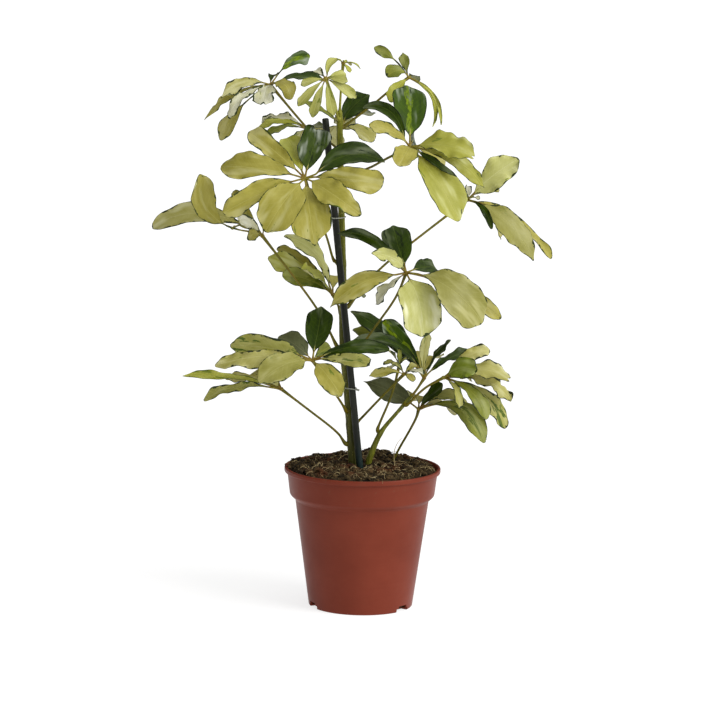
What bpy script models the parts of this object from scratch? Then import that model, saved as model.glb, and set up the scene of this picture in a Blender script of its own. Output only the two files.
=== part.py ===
"""A potted umbrella plant: a young variegated Schefflera tied to a stake in a plastic nursery pot.

Every size below is in millimetres and every angle in degrees; the model itself is in metres.
The origin is the middle of the pot's underside. +Z is up, +X is right, and the front faces -Y.
Each leaf is one piece, as it grew: a stalk that opens at its hub into a ring of leaflets.
"""

from collections import namedtuple
from math import atan2, cos, exp, hypot, pi, radians, sin

import bmesh
import bpy
from mathutils import Matrix, Vector

MM = 0.001
GAP = 0.3  # air between pieces that touch on the real plant
WELD = 0.01  # points nearer than this are one point

# The pot, turned about Z
POT_HEIGHT = 117.0
RIM_RADIUS = 65.0
LIP_HEIGHT = 4.0
LIP_WIDTH = 2.6
LIP_ROUND = 0.8
LIP_UNDERCUT = 0.6  # the small bevels inside the lip and under it
COLLAR_TOP_RADIUS = 62.6
COLLAR_FOOT_RADIUS = 60.3
COLLAR_HEIGHT = 22.5
COLLAR_TUCK = (1.2, 1.6)  # how far the collar's foot turns in, and how far down
SHOULDER_HEIGHT = 4.5
BODY_TOP_RADIUS = 55.7
FOOT_RADIUS = 43.2
EDGE_ROUND = 1.0
WALL = 1.6
POT_STEPS = 48
NOTCH_ANGLES = (-156, -36, 84)
NOTCH_WIDTH = 15.0
NOTCH_HEIGHT = 5.0
NOTCH_DEPTH = 6.0

# The soil: the height of its surface at each radius, and a heap behind the stems as the place of
# its middle, how far it rises there and how wide it is
SOIL_EDGE_HEIGHT = 115.4
SOIL_DOME = ((10, 118.0), (26, 117.6), (44, 117.3), (54, 117.0))
SOIL_HEAP = (12, 42, 5.0, 30)
HEAP_EDGE_POWER = 8  # how abruptly the heap ends at the pot's wall

# The stake: a straight plastic-coated cane
STAKE_FOOT = (2.0, -5, 80)
STAKE_TOP = (-35, -5, 408)
STAKE_RADIUS = 2.9
ROD_SMOOTH_ANGLE = 40

# The stems: points on the axis, from the root end up, with the radius there
MAIN_STEM = (
    ((-6, 2, 84), 3.4),
    ((-8.4, 2, 119), 3.4),
    ((-10.4, 2, 145), 3.2),
    ((-13.9, 2, 182), 3.0),
    ((-17.7, 2, 216), 2.9),
    ((-18.6, 2, 236), 2.9),
    ((-17.8, 2.3, 258), 2.8),
    ((-19.5, 2.3, 300), 2.8),
    ((-20.8, 2, 334), 2.7),
    ((-22.9, 2, 388), 2.5),
    ((-23.2, 2, 412), 2.3),
)
SIDE_SHOOT = (
    ((2, 7, 96), 2.2),
    ((4, 6, 118), 2.8),
    ((9, 4, 133), 2.6),
    ((15, 3, 147), 1.8),
    ((27, 0, 162), 1.5),
    ((40, -2, 178), 1.4),
)

# The wire ties that hold the main stem to the stake
TIE_HEIGHTS = {"wire_tie_upper": 326, "wire_tie_lower": 184}
WIRE_RADIUS = 0.45
TIE_CLEARANCE = 1.0
TIE_SIDE_CLEARANCE = 1.6
TIE_TAIL = 7.0
TIE_TAIL_OFFSET = 1.3  # from the middle line to each tail, in wire radii
TIE_MOUTH = 24  # half the angle between the two ends of the loop
TIE_POINTS = 16

# The leaves
HUB_RADIUS = 2.3
HUB_DOME = 0.9
STALK_RADIUS = 1.1
STALK_FLARE = 1.7  # how much wider the stalk is where it meets its stem
STALK_START = 1.2  # how far a stalk goes straight out of its stem
STALK_TURN = (3.0, 2.2)  # how far out and how far along the stem it has turned upwards
TIP_STALK_START = 3.0  # how far a stalk goes on in line with the stem that it ends
BURIED_POINTS = 3  # along a stalk that comes out of the soil, up to the first one above it
FLARE_SHARE = 0.12  # the share of the stalk over which it widens
BLADE_THICKNESS = 1.2  # along the midrib; the margin is a thin edge
PETIOLULE_SHARE = 0.13  # of a leaflet's length, before its blade begins
PETIOLULE_WIDTH = 1.8
TIP_WIDTH = 0.42  # of the blade's width, where its blunt tip ends
BLADE_OPENING = 0.55  # the power of the share at which a blade widens from its foot
BLADE_CLOSING = (3.2, 0.6)  # the powers at which it narrows again to its tip
BLADE_LEVEL = 1.506  # brings the widest place to 1
BLADE_STATIONS = (0.14, 0.38, 0.64, 0.88)
LEAF_SMOOTH_ANGLE = 50

# base: the stem that bears the leaf and the height where it does, "tip" for the stem's end, or
# "soil" and the point where the stalk starts underground. via: points along the stalk.
# facing: where the open side of the crown looks. Each leaflet is (right, back, up, width, arch,
# roll): its tip from the hub, the blade's width, how far the midrib bows out on the facing side,
# and how far the blade is turned about its midrib.
Leaf = namedtuple("Leaf", "name base via hub facing leaflets")

LEAVES = (
    Leaf(
        "leaf_top_left", ("main_stem", 374), ((-51, 14, 398),), (-81, 25, 432), (-0.2, -0.2, 1),
        (
            (32, 22, 23, 13, 4, 40),
            (45, 10, 4, 12, 4, 20),
            (19, -27, -4, 16, 5, 0),
            (-5, -31, -14, 18, 5, 0),
            (-38, -12, -8, 12, 6, -50),
            (-52, 0, -27, 9, 7, -30),
            (-34, -20, -26, 10, 6, -30),
            (-41, 12, -48, 14, 6, -70),
            (3, 22, 5, 9, 4, 0),
        ),
    ),
    Leaf(
        "leaf_top_young", ("main_stem", 407), ((-27, -7, 422),), (-35, -20, 442), (-0.1, -0.8, 0.6),
        (
            (9, 15, 15, 8, 2, 0),
            (16, 11, 3, 8, 2, 0),
            (18, -4, -2, 8, 2, 0),
            (25, -8, -15, 10, 3, 0),
            (7, -12, -29, 9, 3, 0),
            (-10, -10, -31, 9, 3, 0),
            (-22, -10, -22, 9, 3, 0),
            (-20, 1, -6, 8, 2, 0),
            (-8, 12, 6, 8, 2, 0),
        ),
    ),
    Leaf(
        "leaf_tip_bud", ("main_stem", "tip"), ((-22.5, 1, 434),), (-21, 0, 453), (0, -0.2, 1),
        (
            (6, -6, -7, 5, 1, 0),
            (14, 0, -5, 4, 3, 0),
            (6, 9, -3, 5, 2, 0),
            (-7, 5, 1, 4, 2, 0),
            (2, -8, 1, 4, 2, 0),
        ),
    ),
    Leaf(
        "leaf_top_right", ("main_stem", 400), ((2, 5, 417), (18, 8, 431)), (33, 10, 441),
        (0.1, -0.3, 1),
        (
            (-29, 2, 24, 9, 3, -60),
            (-5, 8, 19, 9, -2, -30),
            (-18, -8, 1, 14, 6, -40),
            (-15, -16, -19, 13, 4, -20),
            (27, -6, -38, 4, 10, 50),
            (20, 8, -41, 4, 10, 50),
            (6, 24, -6, 10, 4, 0),
        ),
    ),
    Leaf(
        "leaf_upper_right", ("main_stem", 359), ((1, -15, 368), (14, -33, 378)), (34, -55, 391),
        (0.2, -0.7, 0.7),
        (
            (-3, 40, 47, 29, 5, 0),
            (-39, 20, 30, 10, 6, -40),
            (-33, -25, 20, 13, 5, -30),
            (-9, -40, -11, 19, 5, 0),
            (40, -22, -57, 28, 8, 0),
            (38, -17, -22, 8, 3, 20),
            (60, 2, -30, 15, 10, 20),
            (53, -20, -3, 28, 6, 0),
            (30, 52, -20, 22, 6, 40),
            (2, 58, -6, 22, 8, 60),
        ),
    ),
    Leaf(
        "leaf_far_right", ("main_stem", 251), ((8, 12, 279), (37, 22, 302)), (84, 40, 337),
        (0.4, -0.5, 0.8),
        (
            (42, 0, 35, 23, 4, 20),
            (28, 50, 10, 19, 6, 40),
            (30, 50, -38, 19, 10, 40),
            (71, 12, -50, 16, 12, 40),
            (54, -10, -49, 27, 12, 20),
            (20, -18, -22, 7, 7, 50),
            (9, -13, 2, 7, 2, 0),
            (0, 10, 10, 7, 2, 0),
        ),
    ),
    Leaf(
        "leaf_upper_front", ("main_stem", 287),
        ((-27, -1, 290), (-32, -25, 313), (-42, -48, 340)), (-50, -70, 366), (-0.05, -0.85, 0.5),
        (
            (8, 38, 36, 27, 3, 0),
            (-16, 43, 27, 21, 5, 0),
            (-46, 30, 33, 20, 6, 0),
            (-70, 12, 8, 25, 8, 0),
            (-65, -10, -28, 23, 8, -25),
            (-31, -30, -40, 34, 8, 0),
            (9, -28, -50, 34, 8, 0),
            (46, -30, -25, 24, 8, 0),
            (64, -15, -1, 22, 8, 20),
            (64, 15, 13, 23, 8, 0),
        ),
    ),
    Leaf(
        "leaf_upper_left_back", ("main_stem", 381), ((-34, 16, 388),), (-50, 30, 395),
        (-0.3, 0.2, 1),
        (
            (-41, 5, 0, 8, 6, -50),
            (-33, -15, -4, 9, 5, -40),
            (-39, 22, 4, 12, 6, -30),
            (-7, 38, -26, 18, 7, 0),
            (17, 43, -12, 17, 7, 0),
            (28, 34, -18, 16, 6, 0),
        ),
    ),
    Leaf(
        "leaf_upper_back", ("main_stem", 391), ((-22.5, 14, 395),), (-22, 26, 399), (0, 0.2, 1),
        (
            (23, 12, 24, 19, 3, 60),
            (26, -7, -13, 16, 4, 50),
            (-11, 16, -14, 12, 4, 0),
            (-32, 12, 18, 8, 3, -40),
            (4, 50, -8, 19, 8, 0),
            (24, 42, 4, 18, 6, 0),
        ),
    ),
    Leaf(
        "leaf_far_left", ("main_stem", 217), ((-30, -1, 233), (-40, -9, 252), (-62, -15, 282)),
        (-85, -20, 312), (-0.35, -0.5, 0.8),
        (
            (-91, 32, 1, 19, 23, -40),
            (-52, -34, 54, 25, -12, -35),
            (-25, 31, 34, 10, 2, 0),
            (-20, -20, 18, 11, 3, 0),
            (-11, -23, 0, 11, 3, 0),
            (-20, 46, 2, 19, 8, 0),
            (10, 34, 6, 16, 6, 0),
        ),
    ),
    Leaf(
        "leaf_mid_left", ("main_stem", 243), ((-22, 9, 251),), (-27, 15, 259), (0.4, -0.4, 0.8),
        (
            (-54, -10, 31, 17, 6, -30),
            (-47, 14, 36, 13, 6, -30),
            (-41, 3, 48, 18, 8, -20),
            (-26, -24, 24, 20, 4, 0),
            (-42, -20, 19, 15, 5, -50),
            (-10, 52, 8, 20, 8, 0),
            (20, 46, -6, 20, 8, 0),
        ),
    ),
    Leaf(
        "leaf_mid_right", ("main_stem", 205),
        ((-6, 3, 214), (1, -7, 225), (9, -15, 238), (26, -32, 265)), (33, -45, 287),
        (0.1, -0.75, 0.65),
        (
            (-11, 35, 34, 25, 4, 0),
            (-54, 25, 28, 10, 8, -40),
            (-29, -30, 20, 14, 6, -40),
            (-60, -10, -26, 20, 9, -20),
            (-24, 6, -26, 14, 6, 30),
            (15, -28, -48, 33, 10, 0),
            (63, -20, -37, 36, 19, 0),
            (78, 2, -37, 13, 12, 50),
            (27, 40, -3, 19, 6, 0),
        ),
    ),
    Leaf(
        "leaf_lower_left", ("main_stem", 164), ((-22, -15, 179), (-33, -40, 198)), (-42, -60, 216),
        (-0.1, -0.7, 0.7),
        (
            (6, 30, 40, 23, 3, 0),
            (-28, 18, 16, 21, 5, 0),
            (-67, 12, 9, 21, 8, -40),
            (-79, -6, -5, 19, 10, -20),
            (-43, -30, -14, 25, 8, -10),
            (24, -25, -25, 20, 6, 0),
            (47, -18, 2, 12, 5, 40),
            (62, -4, 11, 12, 8, 50),
            (14, 22, 8, 13, 3, 40),
        ),
    ),
    Leaf(
        "leaf_low_far_left", ("main_stem", 136), ((-21, 0, 146), (-46, -12, 167)),
        (-68, -20, 185), (-0.5, -0.1, 0.85),
        (
            (-79, -10, 10, 9, 5, -50),
            (-63, -20, -7, 11, 6, -40),
            (-10, -24, 10, 12, 4, 0),
            (-3, 44, 8, 17, 7, 0),
            (-28, 42, 5, 17, 7, 0),
            (-46, 26, 3, 15, 6, 0),
        ),
    ),
    Leaf(
        "leaf_shoot_back", ("side_shoot", "tip"), ((45, 2, 184),), (50, 8, 191), (-0.1, 0.2, 1),
        (
            (-62, 27, 52, 17, 6, -50),
            (-60, 34, 35, 15, 8, -50),
            (-60, -7, 31, 14, 14, -50),
            (-35, 13, 46, 17, 4, -80),
            (3, -5, 38, 10, 3, 0),
            (22, 2, 32, 12, 3, 30),
            (39, 22, 20, 11, 5, 40),
            (12, 48, 10, 18, 8, 0),
            (-12, 46, 14, 18, 8, 0),
        ),
    ),
    Leaf(
        "leaf_shoot_right", ("side_shoot", 171), ((50, -8, 186),), (66, -10, 195),
        (0.4, -0.4, 0.8),
        (
            (39, 5, 24, 12, 4, 30),
            (27, -22, 10, 19, 4, 60),
            (55, -12, 1, 20, 9, 10),
            (57, 2, -19, 13, 9, 20),
            (36, -14, -32, 15, 8, 20),
            (13, -26, -21, 10, 6, 0),
            (52, 14, -44, 16, 10, 40),
            (20, 50, -8, 18, 4, 0),
            (42, 36, -6, 17, 6, 0),
        ),
    ),
    Leaf(
        "leaf_soil_right", ("soil", (20, 19, 98)), ((24, 18, 118), (44, 13, 155)),
        (46, 12, 164), (0.3, -0.1, 0.95),
        (
            (54, -20, -24, 22, 18, 30),
            (41, 9, 2, 16, 12, 20),
            (20, -5, 22, 15, 2, 40),
            (-44, 13, 20, 20, 3, -60),
            (-6, 46, 0, 18, 8, 0),
            (30, 44, -12, 18, 10, 0),
        ),
    ),
    Leaf(
        "leaf_shoot_small", ("side_shoot", 145), ((24, 4, 178),), (29, -2, 203), (0, -0.3, 1),
        (
            (-13, -4, 1, 6, 3, -20),
            (-11, -4, 14, 6, 2, 0),
            (-1, -2, 15, 6, 2, 0),
            (-10, -3, -6, 6, 3, 0),
            (8, 2, 6, 6, 2, 0),
        ),
    ),
    Leaf(
        "leaf_lower_small", ("main_stem", 151), ((-2, 3, 157), (14, -10, 177)), (33, -25, 200),
        (0.2, -0.4, 0.9),
        (
            (-26, -8, -2, 9, 4, -30),
            (17, -7, 2, 8, 3, 0),
            (7, -15, -4, 8, 3, 0),
            (-10, 8, 8, 7, 2, 0),
            (10, 8, 7, 7, 2, 0),
        ),
    ),
)

# Colour and roughness of each finish
POT_FINISH = ((0.32, 0.085, 0.05), 0.4)
SOIL_FINISH = ((0.035, 0.02, 0.012), 0.95)
STAKE_FINISH = ((0.02, 0.03, 0.035), 0.35)
STEM_FINISH = ((0.11, 0.12, 0.03), 0.5)
WIRE_FINISH = ((0.06, 0.07, 0.05), 0.5)
LEAF_FINISH = ((0.28, 0.3, 0.09), 0.35)


def clear_scene():
    for old in list(bpy.data.objects):
        bpy.data.objects.remove(old, do_unlink=True)


def new_collection(name, hidden=False):
    made = bpy.data.collections.new(name)
    made.hide_render = hidden
    bpy.context.scene.collection.children.link(made)
    return made


def material(name, colour, roughness):
    made = bpy.data.materials.new(name)
    made.use_nodes = True
    shader = made.node_tree.nodes["Principled BSDF"]
    shader.inputs["Base Color"].default_value = (*colour, 1)
    shader.inputs["Roughness"].default_value = roughness
    shader.inputs["Metallic"].default_value = 0.0
    return made


def place(name, data, collection, finish=None):
    """An object for this mesh or curve, in the collection, with its material."""
    made = bpy.data.objects.new(name, data)
    collection.objects.link(made)
    if finish:
        data.materials.append(finish)
    return made


def hide_as_cutter(cutter):
    cutter.hide_render = True
    cutter.display_type = "WIRE"
    return cutter


def cut(target, cutter):
    modifier = target.modifiers.new(f"cut_{cutter.name}", "BOOLEAN")
    modifier.operation = "DIFFERENCE"
    modifier.solver = "EXACT"
    modifier.object = cutter


def turned(name, profile, collection, finish):
    """A solid of revolution about Z from (radius, height) points, down the outer side."""
    mesh = bpy.data.meshes.new(name)
    points = [(radius * MM, 0, height * MM) for radius, height in profile]
    mesh.from_pydata(points, [(i, i + 1) for i in range(len(points) - 1)], [])
    made = place(name, mesh, collection, finish)
    screw = made.modifiers.new("turn", "SCREW")
    screw.axis = "Z"
    screw.angle = 2 * pi
    screw.steps = POT_STEPS
    screw.render_steps = POT_STEPS
    screw.use_merge_vertices = True
    screw.merge_threshold = WELD * MM
    screw.use_smooth_shade = True
    return made


def smoothed(points, rounds):
    """The line through these points with its corners cut, ends kept."""
    for _ in range(rounds):
        cut_line = [points[0]]
        for here, there in zip(points, points[1:]):
            cut_line += [here.lerp(there, 0.25), here.lerp(there, 0.75)]
        points = [*cut_line[:1], *cut_line[2:-1], points[-1]]
    return points


def rod(name, points, radii, collection, finish=None):
    """A round rod along the points: a mesh made from a curve, with its caps welded."""
    curve = bpy.data.curves.new(name, "CURVE")
    curve.dimensions = "3D"
    curve.bevel_depth = MM
    curve.bevel_resolution = 2
    curve.use_fill_caps = True
    spline = curve.splines.new("POLY")
    spline.points.add(len(points) - 1)
    for spot, point, radius in zip(spline.points, points, radii):
        spot.co = (*(point * MM), 1)
        spot.radius = radius
    guide = bpy.data.objects.new(f"{name}_curve", curve)
    bpy.context.scene.collection.objects.link(guide)
    bpy.context.view_layer.update()
    evaluated = guide.evaluated_get(bpy.context.evaluated_depsgraph_get())
    mesh = bpy.data.meshes.new_from_object(evaluated)
    mesh.name = name
    bpy.data.objects.remove(guide, do_unlink=True)
    shape = bmesh.new()
    shape.from_mesh(mesh)
    bmesh.ops.remove_doubles(shape, verts=shape.verts, dist=WELD * MM)
    shape.to_mesh(mesh)
    shape.free()
    mesh.materials.clear()
    mesh.shade_smooth()
    mesh.set_sharp_from_angle(angle=radians(ROD_SMOOTH_ANGLE))
    return place(name, mesh, collection, finish)


class Stem:
    """A stem's axis with its radius, read at any height."""

    def __init__(self, rows):
        axis = [Vector((*place_of, radius)) for place_of, radius in rows]
        self.points = smoothed(axis, 1)

    def at(self, height):
        for low, high in zip(self.points, self.points[1:]):
            if height <= high.z:
                break
        spot = low.lerp(high, (height - low.z) / (high.z - low.z))
        return spot.xyz, spot.w, (high.xyz - low.xyz).normalized()

    def tip(self):
        return self.points[-1].xyz, (self.points[-1].xyz - self.points[-2].xyz).normalized()

    def build(self, name, collection, finish, extra=0.0):
        points = [point.xyz for point in self.points]
        radii = [point.w + extra for point in self.points]
        return rod(name, points, radii, collection, finish)


def across(vector, axis):
    """The unit vector nearest to this one that is square to the axis."""
    return (vector - vector.dot(axis) * axis).normalized()


def inner_radius(outer_radius):
    return outer_radius - WALL


def pot_outside():
    """(radius, height) down the outside of the pot, from its lip to its foot."""
    collar_foot = POT_HEIGHT - COLLAR_HEIGHT
    return [
        (RIM_RADIUS - LIP_ROUND, POT_HEIGHT),
        (RIM_RADIUS, POT_HEIGHT - LIP_ROUND),
        (RIM_RADIUS, POT_HEIGHT - LIP_HEIGHT + LIP_UNDERCUT),
        (RIM_RADIUS - LIP_UNDERCUT, POT_HEIGHT - LIP_HEIGHT),
        (COLLAR_TOP_RADIUS, POT_HEIGHT - LIP_HEIGHT),
        (COLLAR_FOOT_RADIUS, collar_foot),
        (COLLAR_FOOT_RADIUS - COLLAR_TUCK[0], collar_foot - COLLAR_TUCK[1]),
        (BODY_TOP_RADIUS + LIP_ROUND, collar_foot - SHOULDER_HEIGHT + LIP_ROUND),
        (BODY_TOP_RADIUS, collar_foot - SHOULDER_HEIGHT - LIP_ROUND),
        (FOOT_RADIUS, EDGE_ROUND),
        (FOOT_RADIUS - EDGE_ROUND, 0),
    ]


def pot_inside():
    """(radius, height) up the inside of the pot, from its floor to its lip."""
    collar_foot = POT_HEIGHT - COLLAR_HEIGHT
    return [
        (inner_radius(FOOT_RADIUS), WALL),
        (inner_radius(BODY_TOP_RADIUS), collar_foot - SHOULDER_HEIGHT),
        (inner_radius(COLLAR_FOOT_RADIUS), collar_foot),
        (inner_radius(COLLAR_TOP_RADIUS), POT_HEIGHT - LIP_HEIGHT),
        (RIM_RADIUS - LIP_WIDTH, POT_HEIGHT - LIP_UNDERCUT),
        (RIM_RADIUS - LIP_WIDTH + LIP_UNDERCUT, POT_HEIGHT),
    ]


def build_pot(parts, cutters):
    pot = turned(
        "pot",
        [(0, WALL), *pot_inside(), *pot_outside(), (0, 0)],
        parts,
        material("pot_plastic", *POT_FINISH),
    )
    for number, angle in enumerate(NOTCH_ANGLES):
        mesh = bpy.data.meshes.new(f"notch_{number}")
        shape = bmesh.new()
        bmesh.ops.create_cube(shape, size=1)
        size = (NOTCH_DEPTH * 2, NOTCH_WIDTH, NOTCH_HEIGHT * 2)
        bmesh.ops.scale(shape, vec=[side * MM for side in size], verts=shape.verts)
        shape.to_mesh(mesh)
        shape.free()
        notch = hide_as_cutter(place(mesh.name, mesh, cutters))
        turn = Matrix.Rotation(radians(angle), 4, "Z")
        notch.matrix_world = turn @ Matrix.Translation((FOOT_RADIUS * MM, 0, 0))
        cut(pot, notch)


def heap_rise(x, y, edge):
    """How far the heap lifts the soil's surface here; it dies away at the edge."""
    heap_x, heap_y, rise, spread = SOIL_HEAP
    away = (x - heap_x) ** 2 + (y - heap_y) ** 2
    kept = 1 - (hypot(x, y) / edge) ** HEAP_EDGE_POWER
    return rise * exp(-away / spread**2) * kept


def build_soil(parts, holes):
    """Soil fills the pot to its lip and over it behind; every buried stem has its own hole."""
    inside = [(radius - GAP, height) for radius, height in pot_inside()[:3]]
    bottom = (inside[0][0], inside[0][1] + GAP)
    edge = inner_radius(COLLAR_TOP_RADIUS) - GAP
    shape = bmesh.new()

    def ring(radius, height, rise_of):
        points = []
        for step in range(POT_STEPS):
            angle = 2 * pi * step / POT_STEPS
            x, y = radius * cos(angle), radius * sin(angle)
            points.append(shape.verts.new(Vector((x, y, height + rise_of(x, y))) * MM))
        return points

    surface = [ring(*row, lambda x, y: heap_rise(x, y, edge)) for row in SOIL_DOME]
    walls = [(edge, SOIL_EDGE_HEIGHT), *inside[:0:-1], bottom]
    rings = surface + [ring(*row, lambda x, y: 0.0) for row in walls]
    middle_height = SOIL_DOME[0][1] + heap_rise(0, 0, edge)
    top = shape.verts.new((0, 0, middle_height * MM))
    foot = shape.verts.new((0, 0, (WALL + GAP) * MM))
    for step in range(POT_STEPS):
        following = (step + 1) % POT_STEPS
        shape.faces.new((top, rings[0][step], rings[0][following]))
        for upper, lower in zip(rings, rings[1:]):
            shape.faces.new((upper[step], lower[step], lower[following], upper[following]))
        shape.faces.new((foot, rings[-1][following], rings[-1][step]))
    mesh = bpy.data.meshes.new("soil")
    shape.to_mesh(mesh)
    shape.free()
    soil = place("soil", mesh, parts, material("soil", *SOIL_FINISH))
    for hole in holes:
        cut(soil, hide_as_cutter(hole))


def build_tie(name, height, stem, parts, finish):
    """A wire bent once round the stem and the stake, with its two ends side by side."""
    stake_share = (height - STAKE_FOOT[2]) / (STAKE_TOP[2] - STAKE_FOOT[2])
    stake_spot = Vector(STAKE_FOOT).lerp(Vector(STAKE_TOP), stake_share)
    stem_spot, stem_radius, _ = stem.at(height)
    long_way = (stake_spot - stem_spot).normalized()
    short_way = Vector((0, 0, 1)).cross(long_way)
    middle = (stake_spot + stem_spot) / 2
    radius = max(stem_radius, STAKE_RADIUS)
    half_length = (stake_spot - stem_spot).length / 2 + radius + TIE_CLEARANCE
    half_width = radius + TIE_SIDE_CLEARANCE
    mouth = radians(TIE_MOUTH)
    points = []
    for number in range(TIE_POINTS):
        angle = mouth + (2 * pi - 2 * mouth) * number / (TIE_POINTS - 1)
        along = half_length * cos(angle) * long_way
        points.append(middle + along + half_width * sin(angle) * short_way)
    ends = [points[0], points[-1]]
    for end, order in zip(ends, (0, len(points) + 1)):
        side = 1 if (end - middle).dot(short_way) > 0 else -1
        tail = middle + (half_length + TIE_TAIL) * long_way
        tail = tail + side * TIE_TAIL_OFFSET * WIRE_RADIUS * short_way
        points.insert(order, tail)
    rod(name, points, [WIRE_RADIUS] * len(points), parts, finish)


def blade_width(share):
    """A leaflet's outline: the width at a share of the blade's length, 1 at the widest place."""
    late, blunt = BLADE_CLOSING
    return BLADE_LEVEL * share**BLADE_OPENING * (1 - share**late) ** blunt


def leaflet_sections(hub, facing, leaflet):
    """Left, top, right and bottom points of the leaflet's cross-sections, from stalk to tip."""
    reach, (width, arch, roll) = Vector(leaflet[:3]), leaflet[3:]
    lift = across(facing, reach.normalized())
    shares = [PETIOLULE_SHARE]
    shares += [PETIOLULE_SHARE + (1 - PETIOLULE_SHARE) * station for station in BLADE_STATIONS]
    widths = [PETIOLULE_WIDTH, *(width * blade_width(station) for station in BLADE_STATIONS)]
    sections = []
    for share, wide in zip([*shares, 1], [*widths, TIP_WIDTH * width]):
        spot = hub + share * reach + 4 * share * (1 - share) * arch * lift
        ahead = (reach + 4 * (1 - 2 * share) * arch * lift).normalized()
        up = Matrix.Rotation(radians(roll), 3, ahead) @ across(lift, ahead)
        left = up.cross(ahead)
        thick = BLADE_THICKNESS / 2
        sections.append(
            [spot + left * wide / 2, spot + up * thick, spot - left * wide / 2, spot - up * thick]
        )
    return sections


def in_order(facing, leaflets):
    """The leaflets in order around the hub, the hub's two axes, and the first one's angle."""
    first_axis = across(Vector((1, 0, 0)), facing)
    second_axis = facing.cross(first_axis)

    def angle_of(leaflet):
        reach = Vector(leaflet[:3])
        return atan2(reach.dot(second_axis), reach.dot(first_axis))

    ordered = sorted(leaflets, key=angle_of)
    step = 2 * pi / len(ordered)
    start = sum(angle_of(leaflet) - number * step for number, leaflet in enumerate(ordered))
    return ordered, first_axis, second_axis, start / len(ordered)


def stalk_line(leaf, stems):
    """The stalk's axis, from its base on the stem to just under the hub."""
    hub, via = Vector(leaf.hub), [Vector(point) for point in leaf.via]
    bearer, where = leaf.base
    if bearer == "soil":
        start = [Vector(where)]
    elif where == "tip":
        tip, onward = stems[bearer].tip()
        start = [tip + onward * GAP, tip + onward * TIP_STALK_START]
    else:
        axis, radius, along = stems[bearer].at(where)
        out = across(via[0] - axis, along)
        base = axis + out * (radius + GAP)
        turned_up = base + STALK_TURN[0] * out + STALK_TURN[1] * along
        start = [base, base + STALK_START * out, turned_up]
    end = hub - (hub - via[-1]).normalized() * HUB_RADIUS
    return smoothed([*start, *via, end], 1)


def build_leaf(leaf, stems, parts, finish):
    """One closed surface: stalk rings up to the hub, and leaflets out from the hub's rim."""
    facing = Vector(leaf.facing).normalized()
    hub = Vector(leaf.hub)
    leaflets, first_axis, second_axis, start = in_order(facing, leaf.leaflets)
    count = len(leaflets)
    step = 2 * pi / count
    shape = bmesh.new()

    def vertex(point):
        return shape.verts.new(point * MM)

    def rim(angle):
        return hub + HUB_RADIUS * (cos(angle) * first_axis + sin(angle) * second_axis)

    def face(*corners):
        shape.faces.new(corners)

    corners = [vertex(rim(start + (number - 0.5) * step)) for number in range(count)]
    top = vertex(hub + HUB_DOME * facing)
    under = []
    for number, leaflet in enumerate(leaflets):
        right, left = corners[number], corners[(number + 1) % count]
        middle = rim(start + number * step)
        section = [
            left,
            vertex(middle + facing * BLADE_THICKNESS / 2),
            right,
            vertex(middle - facing * BLADE_THICKNESS / 2),
        ]
        face(top, right, section[1])
        face(top, section[1], left)
        under.append(section[3])
        for points in leaflet_sections(hub, facing, leaflet):
            ahead = [vertex(point) for point in points]
            for near in range(4):
                far = (near + 1) % 4
                face(section[far], ahead[far], ahead[near], section[near])
            section = ahead
        face(*section)

    line = stalk_line(leaf, stems)[::-1]
    ring = None
    total = sum((there - here).length for here, there in zip(line, line[1:]))
    from_hub = 0.0
    axis = first_axis
    for number, point in enumerate(line):
        before, after = line[max(number - 1, 0)], line[min(number + 1, len(line) - 1)]
        toward_hub = (before - after).normalized()
        axis = across(axis, toward_hub)
        other = toward_hub.cross(axis)
        from_hub += (point - before).length
        near_base = max(0.0, (from_hub / total - 1 + FLARE_SHARE) / FLARE_SHARE)
        radius = STALK_RADIUS * (1 + (STALK_FLARE - 1) * near_base)
        angles = [start + (step_number - 0.5) * step for step_number in range(count)]
        lower = [vertex(point + radius * (cos(a) * axis + sin(a) * other)) for a in angles]
        for this in range(count):
            following = (this + 1) % count
            if ring is None:
                face(under[this], corners[this], lower[this])
                face(under[this], lower[this], lower[following])
                face(under[this], lower[following], corners[following])
            else:
                face(ring[this], lower[this], lower[following], ring[following])
        ring = lower
    face(*ring[::-1])

    bmesh.ops.triangulate(shape, faces=shape.faces)
    bmesh.ops.recalc_face_normals(shape, faces=shape.faces)
    mesh = bpy.data.meshes.new(leaf.name)
    shape.to_mesh(mesh)
    shape.free()
    mesh.shade_smooth()
    mesh.set_sharp_from_angle(angle=radians(LEAF_SMOOTH_ANGLE))
    place(leaf.name, mesh, parts, finish)


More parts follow.
